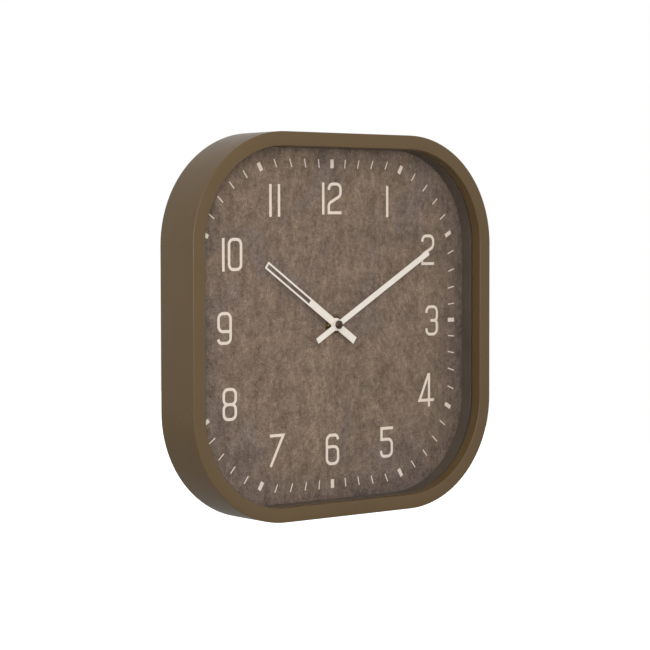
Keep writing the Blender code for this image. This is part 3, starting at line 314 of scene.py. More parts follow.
def screw(place, base, radius, height, shank, tip, turn):
    """A pan-head screw with a cross recess, its head towards +Y.

    The head is a square grid (u, v) in -1..1 carried to a disc, x = u * sqrt(1 - v*v/2) and
    z = v * sqrt(1 - u*u/2). Its height falls with the fourth power of the radius, and the two
    arms of the cross, |u| or |v| under 0.12 and the other under 0.55, sink by 0.6 of it.
    """
    line = np.array([-1, -0.86, -0.7, -0.57, -0.53, -0.36, -0.14, -0.09, 0.0])
    line = np.concatenate([line, -line[-2::-1]])
    u, v = np.meshgrid(line, line, indexing='ij')
    x, z = u * np.sqrt(1 - v * v / 2), v * np.sqrt(1 - u * u / 2)
    fall = (x * x + z * z) ** 2
    arms = ((np.abs(u) < 0.12) & (np.abs(v) < 0.55)) | ((np.abs(v) < 0.12) & (np.abs(u) < 0.55))
    rise = base + height * (1 - 0.45 * fall) - 0.6 * height * arms
    cos, sin = math.cos(turn), math.sin(turn)
    top = np.stack([place[0] + radius * (x * cos - z * sin), rise,
                    place[1] + radius * (x * sin + z * cos)], -1)
    edge = np.concatenate([top[0, :-1], top[:-1, -1], top[-1, :0:-1], top[:0:-1, 0]])
    foot = edge.copy()
    foot[:, 1] = base
    threads = np.arange(tip + 1.0 * MM, base - 1.0 * MM, 0.4 * MM)
    core = [(0.0, tip), (0.35 * shank, tip)]
    for level in threads:
        core += [(0.8 * shank, level), (shank, level + 0.2 * MM)]
    core += [(0.8 * shank, base - 0.8 * MM), (0.8 * shank, base)]
    return [(top, False, False), (np.stack([edge, foot]), False, True),
            (lathe(core, 14, place), False, True)]


def settle(piece, body, slot, material, *stands_for):
    """Finish, body, record slot (not used) and the frame nodes that the piece stands for."""
    piece.data.materials.clear()
    piece.data.materials.append(material)
    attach(piece, body)
    if stands_for:
        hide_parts(*stands_for)
    return piece


# ------------------------------------------------------------------ finishes
class Finish:
    """A node material on Object coordinates, with small helpers for its graph."""

    def __init__(self, name, roughness=0.5, metallic=0.0, **sockets):
        self.material = bpy.data.materials.new(name)
        self.material.use_nodes = True
        self.tree = self.material.node_tree
        self.shader = self.tree.nodes["Principled BSDF"]
        self.shader.inputs["Roughness"].default_value = roughness
        self.shader.inputs["Metallic"].default_value = metallic
        for key, value in sockets.items():
            self.shader.inputs[key.replace("_", " ")].default_value = value
        self.place = self.add("ShaderNodeTexCoord").outputs["Object"]

    def add(self, kind, **values):
        """A node; values set its properties or, failing that, its input sockets."""
        item = self.tree.nodes.new(kind)
        for key, value in values.items():
            if hasattr(item, key):
                setattr(item, key, value)
            else:
                item.inputs[key.replace("_", " ")].default_value = value
        return item

    def join(self, source, target):
        """One link."""
        self.tree.links.new(source, target)

    def noise(self, scale, detail=3.0, rough=0.55, stretch=(1, 1, 1), distort=0.0):
        """Noise of a given scale per metre, stretched along the axes."""
        mapping = self.add("ShaderNodeMapping")
        mapping.inputs["Scale"].default_value = stretch
        self.join(self.place, mapping.inputs["Vector"])
        texture = self.add("ShaderNodeTexNoise", Scale=scale, Detail=detail, Roughness=rough,
                           Distortion=distort)
        self.join(mapping.outputs["Vector"], texture.inputs["Vector"])
        return texture.outputs["Fac"]

    def ramp(self, value, stops):
        """A colour ramp; stops are (position, linear colour)."""
        item = self.add("ShaderNodeValToRGB")
        elements = item.color_ramp.elements
        while len(elements) < len(stops):
            elements.new(0.5)
        for element, (position, tone) in zip(elements, stops):
            element.position = position
            element.color = (*tone, 1.0)
        self.join(value, item.inputs["Fac"])
        return item.outputs["Color"]

    def level(self, value, low, high, start=0.3, stop=0.7):
        """A value carried from one range to another."""
        item = self.add("ShaderNodeMapRange")
        item.inputs["From Min"].default_value = start
        item.inputs["From Max"].default_value = stop
        item.inputs["To Min"].default_value = low
        item.inputs["To Max"].default_value = high
        self.join(value, item.inputs["Value"])
        return item.outputs["Result"]

    def math(self, operation, first, second=0.0):
        """One arithmetic step on two numbers or sockets."""
        item = self.add("ShaderNodeMath", operation=operation)
        for value, target in ((first, item.inputs[0]), (second, item.inputs[1])):
            if isinstance(value, bpy.types.NodeSocket):
                self.join(value, target)
            else:
                target.default_value = value
        return item.outputs[0]

    def blend(self, first, second, mode='MIX', share=0.5):
        """Two colours mixed; share is a number or a socket."""
        item = self.add("ShaderNodeMix")
        item.data_type, item.blend_type = 'RGBA', mode
        for value, target in ((share, item.inputs[0]), (first, item.inputs[6]),
                              (second, item.inputs[7])):
            if isinstance(value, bpy.types.NodeSocket):
                self.join(value, target)
            else:
                target.default_value = value if target.type == 'VALUE' else (*value, 1.0)
        return item.outputs[2]

    def bump(self, value, strength, distance, under=None):
        """Relief from a value, in metres of distance, on top of earlier relief."""
        item = self.add("ShaderNodeBump", Strength=strength, Distance=distance)
        self.join(value, item.inputs["Height"])
        if under is not None:
            self.join(under, item.inputs["Normal"])
        return item.outputs["Normal"]

    def done(self, tone=None, rough=None, normal=None):
        """Wire the sockets that vary and return the material."""
        for value, key in ((tone, "Base Color"), (rough, "Roughness"), (normal, "Normal")):
            if isinstance(value, bpy.types.NodeSocket):
                self.join(value, self.shader.inputs[key])
            elif value is not None:
                self.shader.inputs[key].default_value = (*value, 1.0)
        return self.material


def tint(tone, factor):
    """A colour made lighter or darker."""
    return tuple(min(1.0, channel * factor) for channel in tone)


def case_finish(tone):
    """Satin paint: fine orange peel, faint cloudiness and a little wear in the gloss."""
    paint = Finish("case_paint", 0.3, 0.0)
    paint.shader.inputs["Specular IOR Level"].default_value = 0.32
    cloud = paint.noise(18.0, 3.0, 0.6)
    peel = paint.noise(1500.0, 2.0, 0.5)
    return paint.done(paint.ramp(cloud, [(0.3, tint(tone, 0.95)), (0.7, tint(tone, 1.05))]),
                      paint.level(paint.noise(90.0, 4.0), 0.27, 0.35),
                      paint.bump(peel, 0.2, 0.00002))


def plastic_finish(name, tone, rough=0.5, grain=2200.0, relief=0.00002):
    """Moulded plastic: spark-eroded grain and slight tone change."""
    skin = Finish(name, rough)
    return skin.done(skin.ramp(skin.noise(60.0, 3.0), [(0.3, tint(tone, 0.92)),
                                                       (0.7, tint(tone, 1.1))]),
                     skin.level(skin.noise(400.0, 2.0), rough - 0.05, rough + 0.08),
                     skin.bump(skin.noise(grain, 2.0), 0.35, relief))


def metal_finish(name, tone, rough=0.3, brush=(1, 1, 1), scale=900.0):
    """Bare metal: drawn or turned marks along one axis and small stains."""
    metal = Finish(name, rough, 1.0)
    marks = metal.noise(scale, 2.0, 0.5, brush)
    return metal.done(metal.ramp(metal.noise(120.0, 3.0), [(0.3, tint(tone, 0.85)),
                                                           (0.7, tint(tone, 1.08))]),
                      metal.level(marks, rough - 0.08, rough + 0.12),
                      metal.bump(marks, 0.15, 0.00001))


def dial_finish(looks):
    """Printed mineral look: cool and warm clouds under grain of every size, veins and specks.

    The edge tone is painted shade, with a purple-grey tint, where the rim shades the
    dial; it comes in at the left, right and bottom, with
    (|x| / EDGE_ACROSS)^6 + (max(-z, 0) / EDGE_DOWN)^6.
    """
    face = Finish("dial_print", 0.8)
    face.shader.inputs["Specular IOR Level"].default_value = 0.12
    white = (1.0, 1.0, 1.0)
    broad = face.noise(15.0, 3.0, 0.62, (1.0, 1.0, 0.8), 0.4)
    tone = face.ramp(broad, [(0.34, tuple(looks.dial_cool)), (0.5, tuple(looks.dial)),
                             (0.66, tuple(looks.dial_warm))])
    # Painted shade with a purple-grey tint: the print is mixed towards a darker tone at the left,
    # right and bottom edges, where the rim shades the dial.
    parts = face.add("ShaderNodeSeparateXYZ")
    face.join(face.place, parts.inputs[0])
    sides = []
    for axis, operation, reach in (("X", 'ABSOLUTE', EDGE_ACROSS), ("Z", 'MINIMUM', -EDGE_DOWN)):
        outward = face.math(operation, parts.outputs[axis])
        sides.append(face.math('POWER', face.math('DIVIDE', outward, reach), 6.0))
    edge = face.math('ADD', sides[0], sides[1])
    tone = face.blend(tone, tuple(looks.dial_edge_shade), 'MIX', face.level(edge, 0.0, 0.8, 0.1, 1.2))
    for scale, detail, rough, depth, stretch in DIAL_GRAIN:
        grain = face.noise(scale, detail, rough, stretch)
        tone = face.blend(tone, face.ramp(grain, [(0.25, (1 - depth,) * 3), (0.5, white),
                                                  (0.75, (1 + depth,) * 3)]), 'MULTIPLY', 1.0)
    vein = face.noise(95.0, 5.0, 0.7, (1.4, 1.0, 0.6), 1.6)
    tone = face.blend(tone, face.ramp(vein, [(0.47, white), (0.492, (0.72, 0.71, 0.71)),
                                             (0.515, white)]), 'MULTIPLY', 0.8)
    speck = face.noise(260.0, 2.0, 0.5, (1.0, 1.0, 0.7))
    tone = face.blend(tone, face.ramp(speck, [(0.27, (0.62, 0.61, 0.62)), (0.35, white)]),
                      'MULTIPLY', 0.9)
    return face.done(tone, face.level(vein, 0.74, 0.86), face.bump(speck, 0.05, 0.00001))


def battery_finish(looks):
    """Printed sleeve: a metallic ring at the positive end, a pale hairline, then the colour."""
    skin = Finish("battery_sleeve", 0.3, 0.0)
    parts = skin.add("ShaderNodeSeparateXYZ")
    skin.join(skin.place, parts.inputs[0])
    along = skin.level(parts.outputs["X"], 0.0, 1.0, -0.0255, 0.0255)
    band, sleeve = tuple(looks.band), tuple(looks.sleeve)
    ramp = skin.ramp(along, [(0.0, band), (0.30, tint(band, 0.9)), (0.305, (0.8, 0.8, 0.8)),
                             (0.315, tint(sleeve, 1.1)), (1.0, sleeve)])
    cloud = skin.ramp(skin.noise(300.0, 3.0), [(0.3, (0.92, 0.92, 0.92)), (0.7, (1.0, 1.0, 1.0))])
    return skin.done(skin.blend(ramp, cloud, 'MULTIPLY', 1.0),
                     skin.level(skin.noise(500.0, 2.0), 0.24, 0.36),
                     skin.bump(skin.noise(900.0, 2.0), 0.1, 0.00001))


def board_finish():
    """Green laminate with paler straight tracks under the lacquer."""
    board = Finish("board_laminate", 0.35)
    tracks = board.add("ShaderNodeTexBrick", Scale=1.0, Mortar_Size=0.0002)
    mapping = board.add("ShaderNodeMapping")
    mapping.inputs["Rotation"].default_value = (math.radians(90), 0, 0)
    board.join(board.place, mapping.inputs["Vector"])
    board.join(mapping.outputs["Vector"], tracks.inputs["Vector"])
    tracks.inputs["Brick Width"].default_value = 0.0046
    tracks.inputs["Row Height"].default_value = 0.0016
    tracks.inputs["Mortar Smooth"].default_value = 0.1
    tracks.inputs["Color1"].default_value = (*shade(30, 84, 48), 1)
    tracks.inputs["Color2"].default_value = (*shade(34, 92, 52), 1)
    tracks.inputs["Mortar"].default_value = (*shade(70, 132, 74), 1)
    return board.done(tracks.outputs["Color"], board.level(board.noise(600.0), 0.3, 0.42),
                      board.bump(tracks.outputs["Fac"], 0.3, 0.00003))


def ink_finish(name, tone, rough=0.6):
    """Screened ink or enamel: faint unevenness."""
    ink = Finish(name, rough)
    return ink.done(ink.ramp(ink.noise(160.0, 3.0), [(0.3, tint(tone, 0.96)), (0.7, tone)]),
                    ink.level(ink.noise(500.0, 2.0), rough - 0.05, rough + 0.06),
                    ink.bump(ink.noise(2600.0, 1.0), 0.2, 0.00001))


def glass_finish():
    """Clear flat glass: nearly all of what lies behind it passes, with a faint green body."""
    glass = Finish("clear_glass", 0.04, 0.0)
    glass.shader.inputs["Base Color"].default_value = (0.02, 0.03, 0.026, 1.0)
    glass.shader.inputs["Alpha"].default_value = 0.035
    glass.shader.inputs["Specular IOR Level"].default_value = 0.5
    haze = glass.level(glass.noise(30.0, 2.0), 0.02, 0.06)
    return glass.done(rough=haze)


FINISHES = {}


def finishes(looks):
    """Every finish by record slot, made once."""
    if FINISHES:
        return FINISHES
    brass = tuple(looks.brass)
    steel = shade(190, 190, 186)
    FINISHES.update({
        "case_paint": case_finish(tuple(looks.case)),
        "clear_glass": glass_finish(),
        "spacer_board": plastic_finish("spacer_board", tuple(looks.spacer), 0.65, 1200.0),
        "dial_print": dial_finish(looks),
        "cover_black": plastic_finish("cover_black", tuple(looks.cover), 0.55, 1600.0, 0.00004),
        "zinc_steel": metal_finish("zinc_steel", steel, 0.34, (1.0, 1.0, 8.0)),
        "nickel_strip": metal_finish("nickel_strip", shade(205, 200, 186), 0.28),
        "turned_brass": metal_finish("turned_brass", brass, 0.3, (1.0, 12.0, 1.0)),
        "dark_bronze": metal_finish("dark_bronze", tuple(looks.bronze), 0.38),
        "black_rubber": plastic_finish("black_rubber", shade(28, 28, 28), 0.8, 900.0),
        "movement_plastic": plastic_finish("movement_plastic", shade(52, 52, 55), 0.38, 2600.0),
        "knob_plastic": plastic_finish("knob_plastic", shade(96, 96, 98), 0.4, 2600.0),
        "white_acetal": plastic_finish("white_acetal", shade(228, 227, 220), 0.35, 3000.0),
        "sintered_magnet": metal_finish("sintered_magnet", shade(84, 84, 88), 0.5),
        "copper_wire": metal_finish("copper_wire", shade(186, 108, 60), 0.35, (30.0, 1.0, 1.0)),
        "board_laminate": board_finish(),
        "black_resin": plastic_finish("black_resin", shade(20, 20, 22), 0.25, 300.0),
        "battery_sleeve": battery_finish(looks),
        "hand_enamel": ink_finish("hand_enamel", tuple(looks.enamel), 0.5),
        "print_ink": ink_finish("print_ink", tuple(looks.print_ink), 0.65)})
    return FINISHES


def box_of(node):
    """A frame node's lowest and highest corner as arrays."""
    low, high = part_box(node)
    return np.array(low), np.array(high)


# ------------------------------------------------------------------ operators
class CLOCK_OT_case(bpy.types.Operator):
    """One-piece case: front face, side wall and lip swept round the round square"""
    bl_idname = "clock.case"
    bl_label = "Case"

    def execute(self, context):
        sizes, paint = context.scene.clock_sizes, finishes(context.scene.clock_looks)
        low, high = box_of("case")
        half, front, rear = high[0], low[1], high[1]
        r, opening = sizes.edge, high[0] - sizes.rim
        lip_rear = box_of("lens")[0][1] - sizes.seat
        inner = half - sizes.case_wall
        profile = np.concatenate([
            [(half, rear - 0.4 * MM)], arc((half - r, front + r), r, 0, -90),
            arc((opening + r, front + r), r, -90, -180),
            [(opening, lip_rear - 0.2 * MM), (opening + 0.2 * MM, lip_rear),
             (opening + sizes.lip_wall, lip_rear),
             (opening + sizes.lip_wall, front + FRONT_WALL), (inner, front + FRONT_WALL),
             (inner, rear), (half - 0.4 * MM, rear)]])
        piece = put("case_shell", [(square_sweep(profile, sizes.corner_centre), True, True)])
        settle(piece, "case_body", "case_paint", paint["case_paint"], "case")
        posts = []
        post_rear = box_of("back_cover")[1][1] - COVER_GRIP
        for number in range(1, 9):
            low, high = box_of(f"cover_screw_{number}")
            place = (low + high)[[0, 2]] / 2
            post = [(POST_RADIUS, front + FRONT_WALL + 0.1 * MM),
                    (POST_RADIUS, post_rear - 0.2 * MM), (POST_RADIUS - 0.2 * MM, post_rear),
                    (POST_BORE, post_rear), (POST_BORE, post_rear - POST_BORE_DEPTH),
                    (0, post_rear - POST_BORE_DEPTH)]
            posts.append((lathe(post, 24, place), False, True))
        settle(put("screw_posts", posts, 35), "case_body", "case_paint", paint["case_paint"])
        return {'FINISHED'}


class CLOCK_OT_lens(bpy.types.Operator):
    """Flat lens with a ground edge, and the ring that holds it off the dial"""
    bl_idname = "clock.lens"
    bl_label = "Lens and spacer ring"

    def execute(self, context):
        sizes, paint = context.scene.clock_sizes, finishes(context.scene.clock_looks)
        low, high = box_of("lens")
        half, front, rear, bevel = high[0], low[1], high[1], 0.25 * MM
        profile = [(half - bevel, front), (half, front + bevel), (half, rear - bevel),
                   (half - bevel, rear)]
        piece = put("lens_pane", [(square_sweep(profile, sizes.corner_centre), False, True)])
        settle(piece, "case_body", "clear_glass", paint["clear_glass"], "lens")
        low, high = box_of("spacer_ring")
        half, front, rear, soft = high[0], low[1], high[1], 0.15 * MM
        inner = box_of("case")[1][0] - sizes.rim
        profile = [(half, rear), (half, front), (inner + soft, front), (inner, front + soft),
                   (inner, rear - soft), (inner + soft, rear)]
        piece = put("spacer_wall", [(square_sweep(profile, sizes.corner_centre), True, True)])
        settle(piece, "case_body", "spacer_board", paint["spacer_board"], "spacer_ring")
        return {'FINISHED'}


class CLOCK_OT_dial(bpy.types.Operator):
    """Dial plate: a sheet that runs from the round centre hole to the round-square edge"""
    bl_idname = "clock.dial"
    bl_label = "Dial plate"

    def execute(self, context):
        sizes, paint = context.scene.clock_sizes, finishes(context.scene.clock_looks)
        low, high = box_of("dial_plate")
        half, rear = high[0], high[1]
        outer = corner_path(half, sizes.corner_centre, 28)[0]
        turn = np.arctan2(outer[:, 1], outer[:, 0])
        hole = DIAL_BORE * np.stack([np.cos(turn), np.sin(turn)], -1)
        share = np.array([0, 0.25, 0.5, 0.75, 1, 1, 0.5, 0])[:, None, None]
        depth = np.array([0, 0, 0, 0, 0, rear, rear, rear])[:, None, None]
        flat = hole + (outer - hole) * share
        grid = np.concatenate([flat[..., :1], np.broadcast_to(depth, flat.shape[:2] + (1,)),
                               flat[..., 1:]], -1)
        piece = put("dial_sheet", [(grid, True, True)])
        settle(piece, "case_body", "dial_print", paint["dial_print"], "dial_plate")
        return {'FINISHED'}


def numerals():
    """Skeletons of the numerals in millimetres about the hand arbor, with corner radii.

    Each entry is (corners, radii, closed). Bowls are round-cornered boxes about 11.4 mm wide,
    and the figures stand about 23 mm tall between stroke centres.
    """
    strokes = []

    def line(*points):
        strokes.append((points, [0] * len(points), False))

    def bend(points, radii, closed=False):
        strokes.append((points, radii, closed))

    def two(x, z):
        bend([(x, z + 18.0), (x, z + 22.7), (x + 11.9, z + 22.7), (x + 11.9, z + 13.6),
              (x - 0.1, z + 7.3), (x - 0.1, z), (x + 12.7, z)], [0, 4.0, 4.2, 4.4, 3.6, 0, 0])

    # twelve
    line((-8.9, 86.8), (-8.9, 112.0))
    two(-3.2, 88.2)
    # one
    line((57.3, 84.9), (57.3, 110.2))
    # two
    two(95.1, 46.9)
    # three, upper and lower bowl
    bend([(99.7, 6.3), (99.7, 11.3), (111.1, 11.3), (111.1, 0.0), (104.0, 0.0)],
         [0, 3.9, 4.2, 3.0, 0])
    bend([(107.0, 0.0), (111.1, 0.0), (111.1, -11.3), (99.7, -11.3), (99.7, -6.3)],
         [0, 3.0, 4.2, 3.9, 0])
    # four
    line((102.5, -70.9), (102.5, -43.4))
    bend([(102.1, -43.8), (92.1, -65.5), (107.8, -65.5)], [0, 0, 0])
    # five
    bend([(63.3, -86.1), (51.2, -86.1), (51.2, -95.1), (62.1, -95.1), (62.1, -108.9),
          (51.6, -108.9), (50.5, -104.2)], [0, 0, 0, 4.2, 4.2, 3.2, 0])
    # six
    bend([(5.9, -91.9), (4.6, -88.2), (-5.6, -88.2), (-5.6, -110.9), (5.8, -110.9),
          (5.8, -97.4), (-4.5, -97.4)], [0, 3.0, 4.2, 4.2, 4.2, 4.2, 0])
    # seven
    bend([(-62.3, -85.0), (-49.2, -85.0), (-61.6, -109.0)], [0, 0, 0])
    # eight
    bend([(-106.3, -46.8), (-95.0, -46.8), (-95.0, -58.4), (-106.3, -58.4)], [4.0] * 4, True)
    bend([(-106.3, -58.4), (-95.0, -58.4), (-95.0, -69.8), (-106.3, -69.8)], [4.0] * 4, True)
    # nine
    bend([(-111.4, -8.2), (-110.0, -11.4), (-99.6, -11.4), (-99.6, 11.3), (-110.9, 11.3),
          (-110.9, -2.5), (-100.7, -2.5)], [0, 3.0, 4.2, 4.2, 4.2, 4.2, 0])
    # ten
    line((-106.2, 43.2), (-106.2, 68.7))
    bend([(-100.8, 44.6), (-89.5, 44.6), (-89.5, 67.6), (-100.8, 67.6)], [4.0] * 4, True)
    # eleven
    line((-61.1, 84.9), (-61.1, 110.2))
    line((-52.8, 84.9), (-52.8, 110.2))
    return strokes


class CLOCK_OT_print(bpy.types.Operator):
    """Raised print on the dial: numerals and the minute track"""
    bl_idname = "clock.dial_print"
    bl_label = "Numerals and ticks"

    def execute(self, context):
        sizes, paint = context.scene.clock_sizes, finishes(context.scene.clock_looks)
        face = box_of("dial_plate")[0][1]
        sheets = []
        for order, (corners, radii, closed) in enumerate(numerals()):
            path = rounded_path(np.array(corners) * MM, np.array(radii) * MM, closed)
            top = face - sizes.ink - 0.004 * MM * (order % 3)
            sheets.append(ribbon(path, sizes.stroke / 2, face + 0.02 * MM, top, closed,
                                 0.03 * MM))
        piece = put("numerals", sheets)
        settle(piece, "case_body", "dial_print", paint["print_ink"])
        centre = sizes.tick_path - sizes.tick_corner
        sheets = []
        for minute in range(60):
            angle = math.radians(minute * 6.0)
            ray = np.array([math.sin(angle), math.cos(angle)])
            side = np.abs(ray)
            reach = sizes.tick_path / side.max()
            if side.min() * reach > centre:
                along = centre * side.sum()
                reach = along + math.sqrt(along ** 2 - 2 * centre ** 2 + sizes.tick_corner ** 2)
            path = ray * (reach + sizes.tick * np.array([-0.5, 0.5])[:, None])
            width = sizes.hour_width if minute % 5 == 0 else sizes.minute_width
            sheets.append(ribbon(path, width / 2, face + 0.02 * MM, face - sizes.ink, False,
                                 0.03 * MM))
        piece = put("minute_track", sheets)
        settle(piece, "case_body", "dial_print", paint["print_ink"])
        return {'FINISHED'}


def dress(slot_by_node, paint):
    """Give frame nodes their finish."""
    for node, slot in slot_by_node.items():
        body = frame["nodes"][node]
        body.data.materials.clear()
        body.data.materials.append(paint[slot])


class CLOCK_OT_frame(bpy.types.Operator):
    """Finishes for the pieces whose shape the frame already holds"""
    bl_idname = "clock.frame_finishes"
    bl_label = "Frame finishes"

    def execute(self, context):
        paint = finishes(context.scene.clock_looks)
        dress({item["node"]: item["material_slot"] for item in frame["record"]["subparts"]},
              paint)
        return {'FINISHED'}


def rider(node):
    """The body that a frame node rides on."""
    for body, members in frame["record"]["behaviour"]["bodies"].items():
        if node in members:
            return body
    raise KeyError(node)


def slot_of(node):
    """The record's material slot of a frame node."""
    for item in frame["record"]["subparts"]:
        if item["node"] == node:
            return item["material_slot"]
    raise KeyError(node)


def ease_all(widths, paint):
    """Rounded copies of several frame nodes, each with the node's own finish."""
    for node, width in widths.items():
        settle(eased(node, width * MM), rider(node), slot_of(node), paint[slot_of(node)], node)


class CLOCK_OT_hands(bpy.types.Operator):
    """Hands with eased edges, their collets, and the domed cap nut with its centre dimple"""
    bl_idname = "clock.hands"
    bl_label = "Hands and cap nut"

    def execute(self, context):
        paint = finishes(context.scene.clock_looks)
        ease_all({"hour_hand": 0.09, "minute_hand": 0.09, "minute_collet": 0.12,
                  "hour_collet": 0.08}, paint)
        low, high = box_of("cap_nut")
        radius, front, rear = high[0], low[1], high[1]
        turn = np.radians(np.linspace(0, 74, 12))
        crown = np.stack([radius * np.cos(turn), front + CAP_CROWN
                          - CAP_CROWN * np.sin(turn) / math.sin(turn[-1])], -1)
        profile = np.concatenate([
            [(0, front + CAP_ROOF), (CAP_BORE, front + CAP_ROOF), (CAP_BORE, rear),
             (radius - 0.12 * MM, rear), (radius, rear - 0.12 * MM)], crown,
            [(0.62 * MM, front + 0.01 * MM), (0.5 * MM, front + 0.06 * MM),
             (0.36 * MM, front + 0.17 * MM), (0, front + 0.2 * MM)]])
        piece = put("cap_dome", [(lathe(profile, 56), False, True)], 40)
        settle(piece, "minute_train", "dark_bronze", paint["dark_bronze"], "cap_nut")
        return {'FINISHED'}


class CLOCK_OT_fixing(bpy.types.Operator):
    """Brass washer, nut and bushing that clamp the movement to the dial"""
    bl_idname = "clock.fixing"
    bl_label = "Centre fixing"

    def execute(self, context):
        paint = finishes(context.scene.clock_looks)
        ease_all({"mounting_washer": 0.12, "mounting_nut": 0.3, "threaded_bushing": 0.12,
                  "rubber_washer": 0.15}, paint)
        return {'FINISHED'}


class CLOCK_OT_back(bpy.types.Operator):
    """Back cover, cross-head screws, keyhole hanger and setting knob"""
    bl_idname = "clock.back"
    bl_label = "Back"

    def execute(self, context):
        paint = finishes(context.scene.clock_looks)
        ease_all({"back_cover": 0.4, "hanger_plate": 0.25, "setting_knob": 0.15}, paint)
        for name, nodes, height in (
                ("cover_screws", [f"cover_screw_{number}" for number in range(1, 9)],
                 COVER_SCREW_HEAD),
                ("hanger_screws", ["hanger_screw_left", "hanger_screw_right"],
                 HANGER_SCREW_HEAD)):
            sheets = []
            for order, node in enumerate(nodes):
                low, high = box_of(node)
                place = (low + high)[[0, 2]] / 2
                radius = (high[0] - low[0]) / 2
                sheets += screw(place, high[1] - height, radius, height, SHANK_SHARE * radius,
                                low[1], 0.4 + 1.1 * order)
            settle(put(name, sheets, 35), "case_body", "zinc_steel", paint["zinc_steel"], *nodes)
        return {'FINISHED'}


class CLOCK_OT_movement(bpy.types.Operator):
    """Movement housing, coil, contacts and battery"""
    bl_idname = "clock.movement"
    bl_label = "Movement"

    def execute(self, context):
        paint = finishes(context.scene.clock_looks)
        ease_all({"movement_base": 0.25, "movement_cover": 0.25, "train_bridge": 0.1,
                  "circuit_board": 0.1, "coil_bobbin": 0.15, "contact_positive": 0.08,
                  "contact_negative": 0.06}, paint)
        low, high = box_of("coil_winding")
        centre, radius = (low + high) / 2, (high[1] - low[1]) / 2
        along = np.arange(low[0] + WIRE_PITCH, high[0] - 0.1 * MM, WIRE_PITCH)
        ripple = radius - 0.05 * MM * (np.arange(len(along)) % 2)
        profile = np.concatenate([[(radius - 0.4 * MM, low[0])], np.stack([ripple, along], -1),
                                  [(radius - 0.4 * MM, high[0])]])
        winding = lathe(profile, 32)[..., [1, 0, 2]] + np.array([0, centre[1], centre[2]])
        piece = put("wound_wire", [(winding, False, True)], 80)
        settle(piece, "case_body", "copper_wire", paint["copper_wire"])
        low, high = box_of("battery")
        centre, radius = (low + high) / 2, (high[1] - low[1]) / 2
        nub, start, stop = low[0], low[0] + NUB_LENGTH, high[0]
        can = [(0, nub), (NUB_RADIUS - 0.3 * MM, nub), (NUB_RADIUS, nub + 0.3 * MM),
               (NUB_RADIUS, start),
               (radius - 1.1 * MM, start), (radius - 0.7 * MM, start + 0.15 * MM),
               (radius - 0.6 * MM, start + 0.4 * MM), (radius - 0.12 * MM, start + 0.4 * MM),
               (radius - 0.12 * MM, stop - 0.3 * MM), (radius - 0.6 * MM, stop - 0.3 * MM),
               (radius - 1.0 * MM, stop), (3.2 * MM, stop), (2.9 * MM, stop - 0.2 * MM),
               (0, stop - 0.2 * MM)]
        sleeve = np.concatenate([
            [(radius - 0.1 * MM, start + 0.55 * MM)],
            arc((radius - SLEEVE_ROUND, start + 0.65 * MM), SLEEVE_ROUND, -60, 0, 4),
            arc((radius - SLEEVE_ROUND, stop - 0.75 * MM), SLEEVE_ROUND, 0, 60, 4),
            [(radius - 0.1 * MM, stop - 0.55 * MM)]])
        for name, profile, slot, wrap in (("battery_can", can, "nickel_strip", False),
                                          ("battery_label", sleeve, "battery_sleeve", True)):
            sheet = lathe(profile, 64)[..., [1, 0, 2]] + np.array([0, centre[1], centre[2]])
            piece = put(name, [(sheet, wrap, True)], 35)
            settle(piece, "battery_body", "battery_sleeve", paint[slot])
            if not wrap:
                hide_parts("battery")
        return {'FINISHED'}


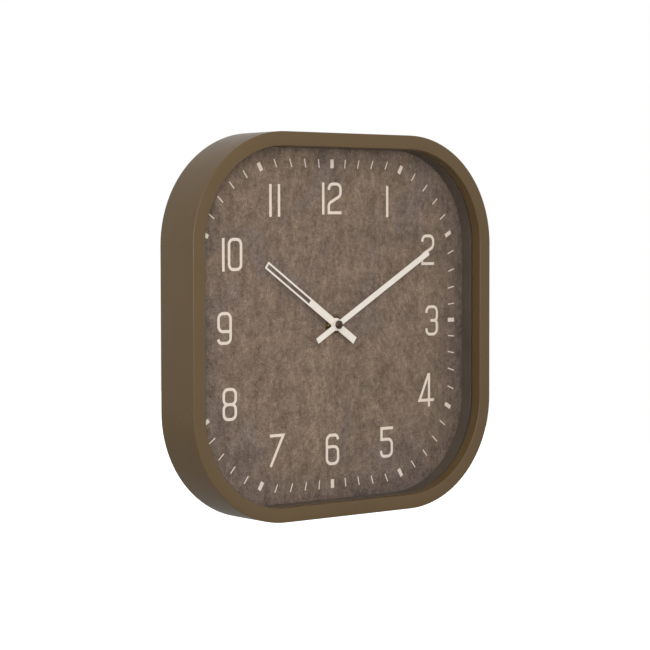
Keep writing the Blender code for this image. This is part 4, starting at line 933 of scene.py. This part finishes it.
class CLOCK_OT_stage(bpy.types.Operator):
    """Pale floor, soft lights and the camera"""
    bl_idname = "clock.stage"
    bl_label = "Studio"

    def execute(self, context):
        scene, looks = context.scene, context.scene.clock_looks
        scene.view_settings.view_transform = 'Standard'
        scene.view_settings.look = 'None'
        world = bpy.data.worlds.new("studio")
        world.use_nodes = True
        sky = world.node_tree.nodes["Background"]
        sky.inputs["Color"].default_value = (1, 1, 1, 1)
        seen = world.node_tree.nodes.new("ShaderNodeLightPath").outputs["Is Camera Ray"]
        glow = world.node_tree.nodes.new("ShaderNodeMapRange")
        glow.inputs["To Min"].default_value = AMBIENT
        world.node_tree.links.new(seen, glow.inputs["Value"])
        world.node_tree.links.new(glow.outputs["Result"], sky.inputs["Strength"])
        scene.world = world
        grid = np.stack(np.meshgrid(np.linspace(-6, 6, 13), np.linspace(-3, 12, 13)), -1)
        floor = np.concatenate([grid, np.full(grid.shape[:2] + (1,), FLOOR_HEIGHT)], -1)
        mesh = bpy.data.meshes.new("floor")
        mesh.from_pydata(floor.reshape(-1, 3).tolist(), [], quads(13, 13, False, False).tolist())
        piece = bpy.data.objects.new("floor", mesh)
        scene.collection.objects.link(piece)
        ground = Finish("studio_floor", 0.9, Emission_Color=(1, 1, 1, 1))
        ground.join(ground.add("ShaderNodeLightPath").outputs["Is Camera Ray"],
                    ground.shader.inputs["Emission Strength"])
        tone = tuple(looks.floor)
        piece.data.materials.append(ground.done(
            ground.ramp(ground.noise(2.0), [(0.3, tint(tone, 0.45)), (0.7, tint(tone, 0.5))])))
        for name, place, size, power in LAMPS:
            lamp = bpy.data.lights.new(name, 'AREA')
            lamp.energy, lamp.size = power, size
            lamp.shape = 'DISK'
            body = bpy.data.objects.new(name, lamp)
            body.location = place
            body.rotation_mode = 'QUATERNION'
            body.rotation_quaternion = (-Vector(place)).to_track_quat('-Z', 'Y')
            scene.collection.objects.link(body)
        camera = bpy.data.cameras.new("camera")
        camera.lens, camera.sensor_width = VIEW_LENS, 36.0
        camera.clip_start, camera.clip_end = 0.05, 40.0
        view = bpy.data.objects.new("camera", camera)
        scene.collection.objects.link(view)
        turn, lift, roll = np.radians((VIEW_TURN, VIEW_LIFT, VIEW_ROLL)).tolist()
        back = np.array([math.sin(turn) * math.cos(lift), -math.cos(turn) * math.cos(lift),
                         math.sin(lift)])
        right = np.array([math.cos(turn), math.sin(turn), 0.0])
        up = np.cross(back, right)
        right, up = (right * math.cos(roll) + up * math.sin(roll),
                     up * math.cos(roll) - right * math.sin(roll))
        place = VIEW_DISTANCE * back - VIEW_RIGHT * right - VIEW_UP * up
        view.matrix_world = Matrix([[right[0], up[0], back[0], place[0]],
                                    [right[1], up[1], back[1], place[1]],
                                    [right[2], up[2], back[2], place[2]], [0, 0, 0, 1]])
        scene.camera = view
        return {'FINISHED'}


class CLOCK_PT_panel(bpy.types.Panel):
    """Buttons and settings of the clock"""
    bl_idname = "CLOCK_PT_panel"
    bl_label = "Wall clock"
    bl_space_type = 'VIEW_3D'
    bl_region_type = 'UI'
    bl_category = "Clock"

    def draw(self, context):
        for step in STEPS:
            self.layout.operator(step.bl_idname)
        for group in (context.scene.clock_sizes, context.scene.clock_looks):
            for key in group.__annotations__:
                self.layout.prop(group, key)


STEPS = (CLOCK_OT_stage, CLOCK_OT_frame, CLOCK_OT_case, CLOCK_OT_lens, CLOCK_OT_dial,
         CLOCK_OT_print, CLOCK_OT_hands, CLOCK_OT_fixing, CLOCK_OT_back, CLOCK_OT_movement)
CLASSES = (ClockSizes, ClockLooks) + STEPS + (CLOCK_PT_panel,)


def register():
    """Make the classes and the two groups of settings known."""
    for item in CLASSES:
        bpy.utils.register_class(item)
    bpy.types.Scene.clock_sizes = PointerProperty(type=ClockSizes)
    bpy.types.Scene.clock_looks = PointerProperty(type=ClockLooks)


def unregister():
    """Undo register."""
    del bpy.types.Scene.clock_sizes
    del bpy.types.Scene.clock_looks
    for item in reversed(CLASSES):
        bpy.utils.unregister_class(item)


def main():
    """Run every step in order."""
    register()
    for step in STEPS:
        group, name = step.bl_idname.split(".")
        getattr(getattr(bpy.ops, group), name)()


if __name__ == "__main__":
    main()
